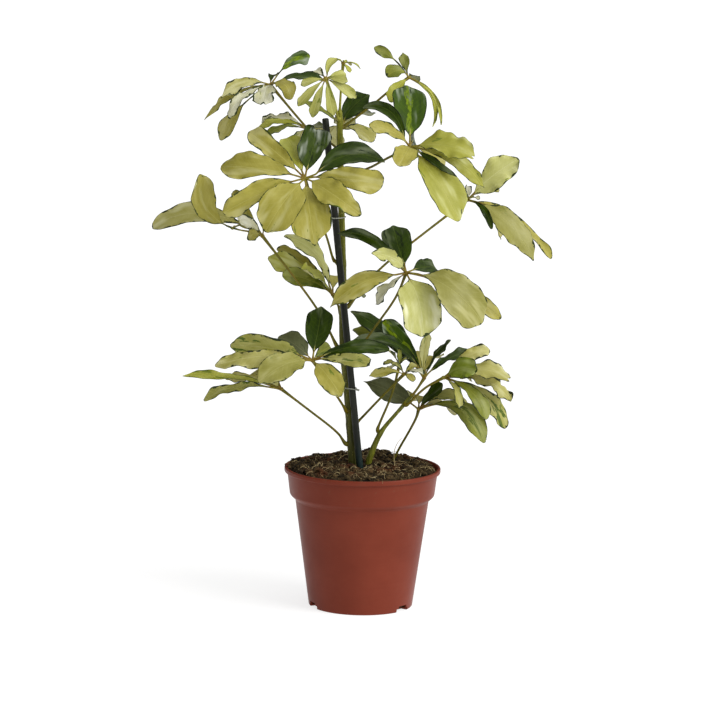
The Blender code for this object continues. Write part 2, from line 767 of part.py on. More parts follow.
def main():
    clear_scene()
    parts = new_collection("potted_umbrella_plant")
    cutters = new_collection("cutters", hidden=True)
    stems = {"main_stem": Stem(MAIN_STEM), "side_shoot": Stem(SIDE_SHOOT)}
    stake_line = [Vector(STAKE_FOOT), Vector(STAKE_TOP)]

    build_pot(parts, cutters)
    holes = [
        stem.build(f"{name}_hole", cutters, None, extra=GAP) for name, stem in stems.items()
    ]
    wide_stake = [STAKE_RADIUS + GAP] * 2
    below_foot = stake_line[0] + GAP * (stake_line[0] - stake_line[1]).normalized()
    holes.append(rod("stake_hole", [below_foot, stake_line[1]], wide_stake, cutters))
    for leaf in LEAVES:
        if leaf.base[0] == "soil":
            buried = stalk_line(leaf, stems)[:BURIED_POINTS]
            radii = [STALK_RADIUS * STALK_FLARE + GAP] * BURIED_POINTS
            holes.append(rod(f"{leaf.name}_hole", buried, radii, cutters))
    build_soil(parts, holes)
    rod("stake", stake_line, [STAKE_RADIUS] * 2, parts, material("stake", *STAKE_FINISH))
    for name, stem in stems.items():
        stem.build(name, parts, material(f"{name}_bark", *STEM_FINISH))
    for name, height in TIE_HEIGHTS.items():
        build_tie(name, height, stems["main_stem"], parts, material(name, *WIRE_FINISH))
    for leaf in LEAVES:
        build_leaf(leaf, stems, parts, material(leaf.name, *LEAF_FINISH))


main()
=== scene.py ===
"""The looks of a potted umbrella plant: fine leaves, bark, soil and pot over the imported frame.

Sizes in the tables are millimetres and degrees, as in the CAD; the scene itself is in metres.
Each fine leaf repeats its CAD leaf's plan, so both have the same hub, tips, arches and turns.
"""

import random
from collections import namedtuple
from math import cos, exp, pi, radians, sin, sqrt

import bmesh
import bpy
import numpy as np
from mathutils import Matrix, Vector, noise


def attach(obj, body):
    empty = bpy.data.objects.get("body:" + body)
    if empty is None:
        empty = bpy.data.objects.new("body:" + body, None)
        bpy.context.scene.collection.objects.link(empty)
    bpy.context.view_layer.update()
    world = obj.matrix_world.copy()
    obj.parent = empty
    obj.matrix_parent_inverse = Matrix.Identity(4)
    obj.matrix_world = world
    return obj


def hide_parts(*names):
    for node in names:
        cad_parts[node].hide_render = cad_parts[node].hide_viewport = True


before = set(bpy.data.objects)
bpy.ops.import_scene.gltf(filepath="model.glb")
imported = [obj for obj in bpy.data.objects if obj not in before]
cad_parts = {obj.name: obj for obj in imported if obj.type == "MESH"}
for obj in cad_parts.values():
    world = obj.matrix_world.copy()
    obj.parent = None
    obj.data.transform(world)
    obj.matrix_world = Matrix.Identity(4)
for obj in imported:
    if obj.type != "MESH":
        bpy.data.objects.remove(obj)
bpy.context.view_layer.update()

MM = 0.001
GAP = 0.3  # between a piece and the one it stands in or on
ROOT = "root"
UPRIGHT = Vector((0, 0, 1))
CROSSWISE = Vector((1, 0, 0))
SMOOTHING = 3  # how often the corners of a line are cut

# The stems and the stake, as in the CAD: points on a stem's axis with the radius there
MAIN_STEM = (
    (-6, 2, 84, 3.4), (-8.4, 2, 119, 3.4), (-10.4, 2, 145, 3.2), (-13.9, 2, 182, 3.0),
    (-17.7, 2, 216, 2.9), (-18.6, 2, 236, 2.9), (-17.8, 2.3, 258, 2.8), (-19.5, 2.3, 300, 2.8),
    (-20.8, 2, 334, 2.7), (-22.9, 2, 388, 2.5), (-23.2, 2, 412, 2.3),
)
SIDE_SHOOT = (
    (2, 7, 96, 2.2), (4, 6, 118, 2.8), (9, 4, 133, 2.6),
    (15, 3, 147, 1.8), (27, 0, 162, 1.5), (40, -2, 178, 1.4),
)
STEM_SIDES = 24
STEM_RING_SPACING = 1.1
# What each leaf leaves on its stem: how far it bulges, how far below the leaf, and its reach
NODE_BULGES = ((0.35, 0, 3.2), (0.16, 5.5, 0.7))
BARK_UNEVENNESS = 0.1
BARK_WAVINESS = 0.35  # waves to a millimetre of height

STAKE_FOOT = Vector((2.0, -5, 80))
STAKE_TOP = Vector((-35, -5, 408))
STAKE_RADIUS = 2.9
STAKE_STEPS = 240
STAKE_RING_HEIGHT = 0.08
STAKE_RING_WIDTH = 0.9
STAKE_RING_SPACING = 27.0
CAP_STEPS = 5
CAP_HEIGHT = 1.2
CAP_FLAT = 0.45  # share of the stake's radius that is flat on top

# The wire ties
TIE_HEIGHTS = {"wire_tie_upper": 326, "wire_tie_lower": 184}
WIRE_RADIUS = 0.45
TIE_CLEARANCE = 1.0
TIE_SIDE_CLEARANCE = 1.6
TIE_MOUTH = 24  # degrees each way, where the loop is open
TIE_LOOP_STEPS = 48
TIE_TAIL = 7.0
TIE_TAIL_START = 0.1  # share of the tail where its first turn begins
TIE_TAIL_STEPS = 24
TIE_TURNS = 1.8
TIE_TWIST_RADIUS = 1.15  # in wire radii
WIRE_SIDES = 10

# The leaves
HUB_RADIUS = 2.3
HUB_WIDTH = 0.82  # the knob's half-width and half-height, as shares of the hub's radius
HUB_HEIGHT = 0.62
HUB_RIDGES = 5
HUB_RIDGE_HEIGHT = 0.07
HUB_RINGS = 7
HUB_STEPS = 16
STALK_RADIUS = 1.1
STALK_SIDES = 12
STALK_FLARE = 2.0
STALK_SINK = 0.7
STALK_RUN = 3.0  # how far it goes straight on from a stem's tip
STALK_SPRING = ((0.9, 0), (2.6, 2.2))  # how it leaves a stem's side: out from it and up along it
STALK_WAIST = 0.12  # share of its radius that a stalk loses halfway
STALK_NECK = 0.35  # share of its radius that it gains under its hub
STALK_NECK_LENGTH = 4
STALK_END = 0.5  # in hub radii from the middle of the hub
FLARE_SHARE = 0.12
PETIOLULE_SHARE = 0.13
BLADE_SHARE = 1 - PETIOLULE_SHARE
BLADE_THICKNESS = 0.42
EDGE_THICKNESS = 0.2
PETIOLULE_RADIUS = 0.8
PETIOLULE_THINNEST = 0.55  # on the smallest leaflets, as a share of that radius
PETIOLULE_START = 0.6  # in hub radii from the middle of the hub
PETIOLULE_SWELLING = (0.25, 1.6)  # how much thicker it starts, and how far that reaches
PETIOLULE_OVERLAP = 0.05  # of the blade's start that it takes before the midrib follows
MIDRIB_END_RADIUS = 0.22
MIDRIB_SHARE = 0.93  # of the blade, where the raised midrib runs out
MIDRIB_SINK = 0.75  # of its radius that its axis lies below the blade's middle
MIDRIB_STEPS = 26
MIDRIB_SIDES = 8
ROW_SPACING = 1.7  # between two rows of points along a blade
FEWEST_ROWS = 12
MOST_ROWS = 42
TIP_CROWDING = 1.4  # above 1, the rows lie closer towards the tip
COLUMNS = (-1, -0.965, -0.88, -0.72, -0.52, -0.3, -0.1, 0, 0.1, 0.3, 0.52, 0.72, 0.88, 0.965, 1)

# What may be said of one blade: neck is the share of it that stays as narrow as a stalk, and taper
# how slowly it widens after that; notch and corner are shares of its length taken off the middle
# and the corners of its tip (a notch below 0 is a point); cup is how far its halves turn up, curl
# how far its left and right halves roll up towards the tip and lean how far all of it turns
# besides its roll, all in degrees; wave is the height of its margin's waves, waves their number and
# lobes how far they swell the outline; hook is the rise of its tip and sweep its bow to the left.
# left and right give a side's half-widths at each fifth of the blade, in tenths of the widest one,
# and both gives them for the two sides at once.
FORM = dict(
    neck=0.0, taper=0.85, notch=0.0, corner=0.05, cup=14, curl=(0, 0), lean=0, wave=1.2,
    waves=1.8, lobes=0.06, hook=0, sweep=0, left=(), right=(), both=(),
)
OVAL = dict(both=(6, 9, 10, 9, 5), corner=0.08, lobes=0.015)
FULL = dict(both=(7, 9, 10, 9, 7), corner=0.07, lobes=0.04)
YOUNG = dict(both=(4, 7, 9, 10, 9), corner=0.08, cup=30, wave=0.5)
CURLED = dict(curl=(90, 60), wave=2.5, cup=30)
YOUNG_LEAVES = ("leaf_top_young", "leaf_tip_bud")

Leaf = namedtuple("Leaf", "name base via hub facing leaflets")
Leaflet = namedtuple("Leaflet", "right back up width arch roll look form", defaults=({},))


def plan(name, base, via, hub, facing, *rows):
    """A leaf: what its stalk springs from and where, what it passes, its hub and its facing."""
    return Leaf(name, base, via, hub, facing, [Leaflet(*row) for row in rows])


# Each leaflet: right, back, up, width, arch and roll as in the CAD, then its look and its form
LEAVES = (
    plan(
        "leaf_top_left", ("main_stem", 374), ((-51, 14, 398),), (-81, 25, 432), (-0.2, -0.2, 1),
        (32, 22, 23, 13, 4, 40, "heart", dict(neck=0.25, right=(4, 6, 9, 12, 8), curl=(0, -70))),
        (45, 10, 4, 12, 4, 20, "dark", dict(cup=30, notch=-0.05, corner=0.1)),
        (19, -27, -4, 16, 5, 0, "khaki", dict(hook=-7, wave=2, left=(7, 9, 10, 9, 7))),
        (-5, -31, -14, 18, 5, 0, "pale", dict(wave=3.2, waves=2.4, lobes=0.16, notch=0.05)),
        (-38, -12, -8, 12, 6, -50, "cream", dict(wave=2, notch=-0.08, corner=0.12)),
        (-52, 0, -27, 9, 7, -30, "khaki", dict(notch=-0.08, corner=0.14, wave=1.6)),
        (-34, -20, -26, 10, 6, -30, "pale", dict(wave=2.4, hook=-3, curl=(30, 0))),
        (-41, 12, -48, 14, 6, -70, "khaki", dict(neck=0.35, corner=0.1, wave=0.5)),
        (3, 22, 5, 9, 4, 0, "dark", dict(curl=(40, 40))),
    ),
    plan(
        "leaf_top_young", ("main_stem", 407), ((-27, -7, 422),), (-35, -20, 442), (-0.1, -0.8, 0.6),
        (9, 15, 15, 8, 2, 0, "young", dict(YOUNG, sweep=2)),
        (16, 11, 3, 8, 2, 0, "young", YOUNG),
        (18, -4, -2, 8, 2, 0, "young", YOUNG),
        (25, -8, -15, 10, 3, 0, "young", YOUNG),
        (7, -12, -29, 9, 3, 0, "young", YOUNG),
        (-10, -10, -31, 9, 3, 0, "young", YOUNG),
        (-22, -10, -22, 9, 3, 0, "young", YOUNG),
        (-20, 1, -6, 8, 2, 0, "young", YOUNG),
        (-8, 12, 6, 8, 2, 0, "pale", YOUNG),
    ),
    plan(
        "leaf_tip_bud", ("main_stem", "tip"), ((-22.5, 1, 434),), (-21, 0, 453), (0, -0.2, 1),
        (6, -6, -7, 5, 1, 0, "lime", YOUNG),
        (14, 0, -5, 4, 3, 0, "lime", YOUNG),
        (6, 9, -3, 5, 2, 0, "lime", YOUNG),
        (-7, 5, 1, 4, 2, 0, "lime", YOUNG),
        (2, -8, 1, 4, 2, 0, "lime", YOUNG),
    ),
    plan(
        "leaf_top_right", ("main_stem", 400), ((2, 5, 417), (18, 8, 431)), (33, 10, 441), (0.1, -0.3, 1),
        (-29, 2, 24, 9, 3, -60, "olive", dict(neck=0.45, both=(5, 9, 10, 9, 8))),
        (-5, 8, 19, 9, -2, -30, "olive", dict(neck=0.15, notch=-0.05, corner=0.1)),
        (-18, -8, 1, 14, 6, -40, "olive", dict(curl=(70, 50), neck=0.1)),
        (-15, -16, -19, 13, 4, -20, "lime", dict(corner=0.1)),
        (27, -6, -38, 4, 10, 50, "lime", dict(cup=60, taper=0.4)),
        (20, 8, -41, 4, 10, 50, "lime", dict(cup=60, taper=0.4)),
        (6, 24, -6, 10, 4, 0, "dark"),
    ),
    plan(
        "leaf_upper_right", ("main_stem", 359), ((1, -15, 368), (14, -33, 378)), (34, -55, 391),
        (0.2, -0.7, 0.7),
        (-3, 40, 47, 29, 5, 0, "heart", dict(OVAL, wave=0.4)),
        (-39, 20, 30, 10, 6, -40, "dark", dict(taper=0.5, sweep=-8, wave=0.6, curl=(50, 0))),
        (-33, -25, 20, 13, 5, -30, "khaki", dict(left=(3, 7, 6, 9, 9), right=(5, 6, 9, 8, 9))),
        (-9, -40, -11, 19, 5, 0, "khaki", dict(left=(8, 10, 10, 9, 8), right=(6, 9, 10, 10, 8))),
        (
            40, -22, -57, 28, 8, 0, "fresh",
            dict(left=(7, 11, 12, 12, 10), right=(7, 9, 10, 10, 9), corner=0.12, lobes=0.03, wave=0.6),
        ),
        (38, -17, -22, 8, 3, 20, "dark", dict(both=(5, 8, 7, 6, 3))),
        (60, 2, -30, 15, 10, 20, "fresh", dict(wave=1.6, notch=-0.05, left=(5, 8, 9, 6, 6))),
        (
            53, -20, -3, 28, 6, 0, "fresh",
            dict(left=(8, 10, 9, 8, 6), right=(4, 6, 8, 8, 5), wave=2.6, hook=-4, notch=0.06),
        ),
        (30, 52, -20, 22, 6, 40, "khaki"),
        (2, 58, -6, 22, 8, 60, "dark"),
    ),
    plan(
        "leaf_far_right", ("main_stem", 251), ((8, 12, 279), (37, 22, 302)), (84, 40, 337), (0.4, -0.5, 0.8),
        (
            42, 0, 35, 23, 4, 20, "silver",
            dict(left=(4, 8, 11, 9, 6), right=(8, 11, 10, 9, 7), wave=2.6, lobes=0.02),
        ),
        (28, 50, 10, 19, 6, 40, "khaki"),
        (30, 50, -38, 19, 10, 40, "khaki"),
        (71, 12, -50, 16, 12, 40, "khaki", dict(left=(3, 4, 4, 4, 8), right=(3, 4, 4, 4, 7))),
        (
            54, -10, -49, 27, 12, 20, "straw",
            dict(left=(5, 8, 9, 6, 4), right=(6, 10, 10, 6, 4), wave=1.8, hook=4),
        ),
        (20, -18, -22, 7, 7, 50, "dark", dict(curl=(70, 70), wave=2)),
        (9, -13, 2, 7, 2, 0, "pale", dict(curl=(70, 40), wave=2)),
        (0, 10, 10, 7, 2, 0, "pale", dict(curl=(70, 40), wave=2)),
    ),
    plan(
        "leaf_upper_front", ("main_stem", 287), ((-27, -1, 290), (-32, -25, 313), (-42, -48, 340)),
        (-50, -70, 366), (-0.05, -0.85, 0.5),
        (8, 38, 36, 27, 3, 0, "glossy", dict(curl=(130, 25), left=(6, 9, 10, 10, 8), wave=0.6)),
        (-16, 43, 27, 21, 5, 0, "lime"),
        (
            -46, 30, 33, 20, 6, 0, "khaki",
            dict(left=(5, 9, 8, 9, 8), right=(5, 7, 8, 10, 9), curl=(30, 0), wave=2),
        ),
        (
            -70, 12, 8, 25, 8, 0, "khaki",
            dict(left=(3, 6, 8, 9, 7), right=(6, 10, 10, 8, 7), wave=1.8, hook=-2),
        ),
        (
            -65, -10, -28, 23, 8, -25, "khaki",
            dict(left=(3, 5, 5, 7, 9), right=(6, 9, 9, 8, 6), wave=2.2, corner=0.02),
        ),
        (-31, -30, -40, 34, 8, 0, "khaki", dict(FULL, wave=0.8)),
        (9, -28, -50, 34, 8, 0, "khaki", dict(OVAL, wave=0.8, notch=-0.02)),
        (
            46, -30, -25, 24, 8, 0, "khaki",
            dict(left=(8, 10, 9, 6, 5), right=(7, 10, 7, 6, 6), wave=2.4, hook=-3),
        ),
        (
            64, -15, -1, 22, 8, 20, "khaki",
            dict(left=(5, 8, 9, 9, 9), right=(3, 6, 8, 9, 9), wave=2.4, hook=-4, corner=0.0),
        ),
        (
            64, 15, 13, 23, 8, 0, "dark",
            dict(sweep=7, left=(6, 9, 10, 9, 6), right=(5, 8, 8, 8, 7), curl=(0, 55)),
        ),
    ),
    plan(
        "leaf_upper_left_back", ("main_stem", 381), ((-34, 16, 388),), (-50, 30, 395), (-0.3, 0.2, 1),
        (-41, 5, 0, 8, 6, -50, "lime", dict(notch=-0.05, wave=1.6)),
        (-33, -15, -4, 9, 5, -40, "olive", dict(notch=-0.05)),
        (-39, 22, 4, 12, 6, -30, "pale", dict(wave=2.8, lobes=0.15, curl=(40, 0))),
        (-7, 38, -26, 18, 7, 0, "khaki"),
        (17, 43, -12, 17, 7, 0, "dark"),
        (28, 34, -18, 16, 6, 0, "khaki"),
    ),
    plan(
        "leaf_upper_back", ("main_stem", 391), ((-22.5, 14, 395),), (-22, 26, 399), (0, 0.2, 1),
        (23, 12, 24, 19, 3, 60, "dark", OVAL),
        (26, -7, -13, 16, 4, 50, "cream"),
        (-11, 16, -14, 12, 4, 0, "khaki"),
        (-32, 12, 18, 8, 3, -40, "olive", dict(notch=-0.06)),
        (4, 50, -8, 19, 8, 0, "khaki"),
        (24, 42, 4, 18, 6, 0, "dark"),
    ),
    plan(
        "leaf_far_left", ("main_stem", 217), ((-30, -1, 233), (-40, -9, 252), (-62, -15, 282)),
        (-85, -20, 312), (-0.35, -0.5, 0.8),
        (
            -91, 32, 1, 19, 23, -40, "cream",
            dict(left=(5, 8, 8, 8, 7), right=(5, 9, 10, 9, 7), corner=0.02, wave=1),
        ),
        (
            -52, -34, 54, 25, -12, -35, "khaki",
            dict(neck=0.3, left=(5, 9, 10, 11, 10), right=(5, 9, 10, 10, 9), sweep=6, curl=(0, 30)),
        ),
        (-25, 31, 34, 10, 2, 0, "khaki", dict(curl=(60, 60))),
        (-20, -20, 18, 11, 3, 0, "pale", dict(curl=(60, 30), wave=2, lean=-100)),
        (-11, -23, 0, 11, 3, 0, "khaki", dict(curl=(30, 60), wave=2, lean=-60)),
        (-20, 46, 2, 19, 8, 0, "khaki"),
        (10, 34, 6, 16, 6, 0, "khaki"),
    ),
    plan(
        "leaf_mid_left", ("main_stem", 243), ((-22, 9, 251),), (-27, 15, 259), (0.4, -0.4, 0.8),
        (-54, -10, 31, 17, 6, -30, "fresh", dict(both=(6, 8, 10, 11, 10), wave=1.6)),
        (-47, 14, 36, 13, 6, -30, "khaki", dict(wave=1.6)),
        (-41, 3, 48, 18, 8, -20, "silver", dict(sweep=-6, wave=2.2, curl=(50, 0))),
        (-26, -24, 24, 20, 4, 0, "lime", dict(wave=1.8, notch=-0.04, curl=(60, 0))),
        (-42, -20, 19, 15, 5, -50, "olive", dict(wave=1.4)),
        (-10, 52, 8, 20, 8, 0, "khaki"),
        (20, 46, -6, 20, 8, 0, "dark"),
    ),
    plan(
        "leaf_mid_right", ("main_stem", 205), ((-6, 3, 214), (1, -7, 225), (9, -15, 238), (26, -32, 265)),
        (33, -45, 287), (0.1, -0.75, 0.65),
        (-11, 35, 34, 25, 4, 0, "dark", dict(OVAL, wave=0.4)),
        (-54, 25, 28, 10, 8, -40, "dark", dict(taper=0.5, sweep=-5, notch=-0.04, curl=(30, 0))),
        (
            -29, -30, 20, 14, 6, -40, "silver",
            dict(left=(6, 9, 5, 8, 4), right=(5, 6, 9, 9, 5), wave=2.8, curl=(50, 30)),
        ),
        (-60, -10, -26, 20, 9, -20, "khaki", dict(both=(5, 8, 9, 8, 4), sweep=-4, notch=-0.05)),
        (-24, 6, -26, 14, 6, 30, "pale", dict(wave=2.4, curl=(0, 50))),
        (15, -28, -48, 33, 10, 0, "silver", dict(both=(8, 10, 10, 10, 8), lobes=0.02)),
        (
            63, -20, -37, 36, 19, 0, "straw",
            dict(left=(6, 9, 10, 9, 8), right=(3, 8, 11, 12, 10), neck=0.06, wave=1.8, lobes=0.04),
        ),
        (78, 2, -37, 13, 12, 50, "khaki", dict(wave=2.4)),
        (27, 40, -3, 19, 6, 0, "dark", OVAL),
    ),
    plan(
        "leaf_lower_left", ("main_stem", 164), ((-22, -15, 179), (-33, -40, 198)), (-42, -60, 216),
        (-0.1, -0.7, 0.7),
        (6, 30, 40, 23, 3, 0, "dark", dict(OVAL, wave=0.3)),
        (-28, 18, 16, 21, 5, 0, "shaded", dict(FULL, wave=0.6)),
        (-67, 12, 9, 21, 8, -40, "streak", dict(FULL, wave=1.2)),
        (
            -79, -6, -5, 19, 10, -20, "cream",
            dict(left=(4, 8, 10, 6, 5), right=(4, 6, 5, 7, 5), wave=3.2, waves=2.4),
        ),
        (-43, -30, -14, 25, 8, -10, "straw", dict(FULL, wave=1.4)),
        (24, -25, -25, 20, 6, 0, "khaki", FULL),
        (47, -18, 2, 12, 5, 40, "streak", dict(corner=0.0, wave=1.6)),
        (62, -4, 11, 12, 8, 50, "dark", dict(taper=0.6)),
        (14, 22, 8, 13, 3, 40, "olive"),
    ),
    plan(
        "leaf_low_far_left", ("main_stem", 136), ((-21, 0, 146), (-46, -12, 167)), (-68, -20, 185),
        (-0.5, -0.1, 0.85),
        (-79, -10, 10, 9, 5, -50, "lime", dict(cup=50, notch=-0.03, hook=2, wave=1.4)),
        (-63, -20, -7, 11, 6, -40, "streak", dict(curl=(30, 60), wave=1.8)),
        (-10, -24, 10, 12, 4, 0, "khaki"),
        (-3, 44, 8, 17, 7, 0, "dark"),
        (-28, 42, 5, 17, 7, 0, "khaki"),
        (-46, 26, 3, 15, 6, 0, "khaki"),
    ),
    plan(
        "leaf_shoot_back", ("side_shoot", "tip"), ((45, 2, 184),), (50, 8, 191), (-0.1, 0.2, 1),
        (-62, 27, 52, 17, 6, -50, "dark", OVAL),
        (-60, 34, 35, 15, 8, -50, "olive", dict(wave=1.8)),
        (-60, -7, 31, 14, 14, -50, "dark", dict(taper=0.5, notch=-0.04)),
        (-35, 13, 46, 17, 4, -80, "heart", dict(wave=1.4)),
        (3, -5, 38, 10, 3, 0, "shaded", dict(notch=-0.04)),
        (22, 2, 32, 12, 3, 30, "dark", dict(wave=1.6)),
        (39, 22, 20, 11, 5, 40, "dark", dict(wave=1.8)),
        (12, 48, 10, 18, 8, 0, "khaki"),
        (-12, 46, 14, 18, 8, 0, "khaki"),
    ),
    plan(
        "leaf_shoot_right", ("side_shoot", 171), ((50, -8, 186),), (66, -10, 195), (0.4, -0.4, 0.8),
        (39, 5, 24, 12, 4, 30, "cream", dict(wave=2.6, hook=-5, sweep=2, waves=2.4)),
        (27, -22, 10, 19, 4, 60, "leafy", dict(FULL, wave=2.2)),
        (55, -12, 1, 20, 9, 10, "cream", dict(wave=2.2, notch=0.05)),
        (57, 2, -19, 13, 9, 20, "cream", dict(wave=3, waves=2.6)),
        (36, -14, -32, 15, 8, 20, "olive", dict(wave=1.4)),
        (13, -26, -21, 10, 6, 0, "streak", dict(cup=40)),
        (52, 14, -44, 16, 10, 40, "streak", dict(wave=2)),
        (20, 50, -8, 18, 4, 0, "khaki"),
        (42, 36, -6, 17, 6, 0, "dark"),
    ),
    plan(
        "leaf_soil_right", ("soil", (20, 19, 98)), ((24, 18, 118), (44, 13, 155)), (46, 12, 164),
        (0.3, -0.1, 0.95),
        (54, -20, -24, 22, 18, 30, "olive", dict(both=(4, 7, 9, 10, 8), wave=0.6)),
        (41, 9, 2, 16, 12, 20, "streak"),
        (20, -5, 22, 15, 2, 40, "dark"),
        (-44, 13, 20, 20, 3, -60, "shaded", dict(both=(6, 9, 10, 7, 3), notch=-0.06)),
        (-6, 46, 0, 18, 8, 0, "khaki"),
        (30, 44, -12, 18, 10, 0, "khaki"),
    ),
    plan(
        "leaf_shoot_small", ("side_shoot", 145), ((24, 4, 178),), (29, -2, 203), (0, -0.3, 1),
        (-13, -4, 1, 6, 3, -20, "streak", CURLED),
        (-11, -4, 14, 6, 2, 0, "pale", CURLED),
        (-1, -2, 15, 6, 2, 0, "olive", CURLED),
        (-10, -3, -6, 6, 3, 0, "pale", CURLED),
        (8, 2, 6, 6, 2, 0, "streak", CURLED),
    ),
    plan(
        "leaf_lower_small", ("main_stem", 151), ((-2, 3, 157), (14, -10, 177)), (33, -25, 200),
        (0.2, -0.4, 0.9),
        (-26, -8, -2, 9, 4, -30, "khaki", dict(hook=6, wave=1.8, notch=-0.05)),
        (17, -7, 2, 8, 3, 0, "pale", dict(wave=2)),
        (7, -15, -4, 8, 3, 0, "khaki"),
        (-10, 8, 8, 7, 2, 0, "streak"),
        (10, 8, 7, 7, 2, 0, "khaki"),
    ),
)

# The pot, as in the CAD
POT_HEIGHT = 117.0
RIM_RADIUS = 65.0
LIP_HEIGHT = 4.0
LIP_WIDTH = 2.6
LIP_CHAMFER = 0.6
COLLAR_TOP_RADIUS = 62.6
COLLAR_FOOT_RADIUS = 60.3
COLLAR_HEIGHT = 22.5
COLLAR_FOOT = POT_HEIGHT - COLLAR_HEIGHT
COLLAR_STEP_WIDTH = 1.2
COLLAR_STEP_HEIGHT = 1.6
SHOULDER_HEIGHT = 4.5
BODY_TOP_RADIUS = 55.7
FOOT_RADIUS = 43.2
FOOT_RING_WIDTH = 5.0
FLOOR_INSET = 6.0
FLOOR_RECESS = 0.6
WALL = 1.6
NOTCH_ANGLES = (-156, -36, 84)
NOTCH_WIDTH = 15.0
NOTCH_HEIGHT = 5.0
NOTCH_DEPTH = 6.0
NOTCH_ROUNDING = 2.2
NOTCH_SEGMENTS = 4
POT_STEPS = 168
FILLET = 1.0
FILLET_REACH = 0.45  # at most, of the sides that meet in a corner
FILLET_STEPS = 4

# The soil
SOIL_EDGE_HEIGHT = 115.8
SOIL_DOME = ((0, 118.0), (10, 118.0), (26, 117.6), (44, 117.3), (54, 117.0))
SOIL_HEAP = (12, 42, 5.0, 30)  # x and y of its middle, its height and its spread
HEAP_EDGE_POWER = 8
SOIL_LUMPS = ((1.7, 0.1), (1.9, 0.24))  # the height of its lumps and how close they lie
SOIL_RIDGES = (0.9, 0.7)
SOIL_SETTLING = 0.4
SOIL_SLICE = 3.7  # where the noise that the lumps follow is cut
SOIL_SEED = 7
SOIL_RINGS = 46
SOIL_STEPS = 150
SOIL_CROWDING = 0.9  # below 1, the rings lie closer towards the edge
SOIL_EDGE_INSET = 0.2
SOIL_FOOT_INSET = 1.5
# What stands in the soil, where it comes out: the stems, the stake and the stalk on the right
STANDING = (MAIN_STEM[1], SIDE_SHOOT[1], (-1.9, -5, 115, 3.1), (24, 18, 118, 2.0))
CRUMBS = 1150
CRUMB_SIZES = (0.7, 0.9, 1.2, 1.5, 2.1)
CRUMB_VARIETY = (0.8, 1.2)
CRUMB_FLATNESS = (0.5, 0.85)
CRUMB_BULGES = (0.55, 1.4)  # how far they stand out and how close they lie
CRUMB_VARIATION = 40
CRUMB_RISE = 0.25  # of its size that its middle lies over the soil
CRUMB_INSET = 1.5
CRUMB_CLEARANCE = 0.4
CRUMB_FINISHES = ("soil", "crumb", "crumb")
FINE_CRUMB = 1.3  # a crumb above this size is modelled finer
CLODS = 90
CLOD_SIZES = (2.2, 4.2)
CLOD_RISE = -0.1
CLOD_INSET = 4
SPILT = 46  # crumbs heaped against the pot's lip and lying on it
SPILT_SIZES = (0.6, 2.3)
SPILT_ON_LIP_SIZES = (0.4, 1.1)
SPILT_RISE = 0.3
SPILL_BAND = (57.0, 64.8)
SPILL_LIP = 62
SPILL_ARC = (125, 200)
FIBRES = 240
FIBRE_LENGTHS = (4, 14)
FIBRE_BENDS = (-1.9, 1.9)  # radians over its length
FIBRE_LIFTS = (0.3, 2.4)
FIBRE_RADII = (0.1, 0.24)
FIBRE_RISE = 0.5
FIBRE_INSET = 5
FIBRE_CLEARANCE = 1.0
FIBRE_SIDES = 5
FIBRE_STEPS = 10
STRAY_ROOT = ((27, -6, 116), (26, -7, 124), (26, -8, 133), (29, -8, 140), (32, -8, 143))
STRAY_ROOT_TAPER = (0.4, 0.25)  # its radius, and how much of that it loses
STRAY_ROOT_SIDES = 6

# The camera, its place and its reach in metres
CAMERA_TARGET = Vector((-0.0018, 0, 0.2053))
CAMERA_DISTANCE = 3.2
CAMERA_ELEVATION = 9.5
CAMERA_ROLL = 0.9
CAMERA_REACH = 100
SENSOR = 36
LENS = 192

# Light: where each lamp shines towards, its strength and its width in degrees
LIGHTS = (
    ("key_light", (-0.7, 0.44, -0.56), 2.0, 34),
    ("fill_light", (0.35, 0.85, -0.4), 0.05, 70),
)
WHITE = (1, 1, 1, 1)
BRIGHT_SIDE = (0.56, -0.3, 0.77)
BRIGHT_SPREAD = (-0.3, 1.0)  # cosines off the bright side where its light begins and is full
WORLD_LEVELS = (0.03, 1.05)  # the studio's walls, away from the bright side and on it
FLOOR_REACH = 40_000  # each way
FLOOR_GREYS = (0.33, 0.35)
FLOOR_GLOW = 0.75


# ---------------------------------------------------------------- materials


def tone(red, green, blue):
    """A linear colour from screen values of 0 to 255."""
    return *((value / 255) ** 2.2 for value in (red, green, blue)), 1


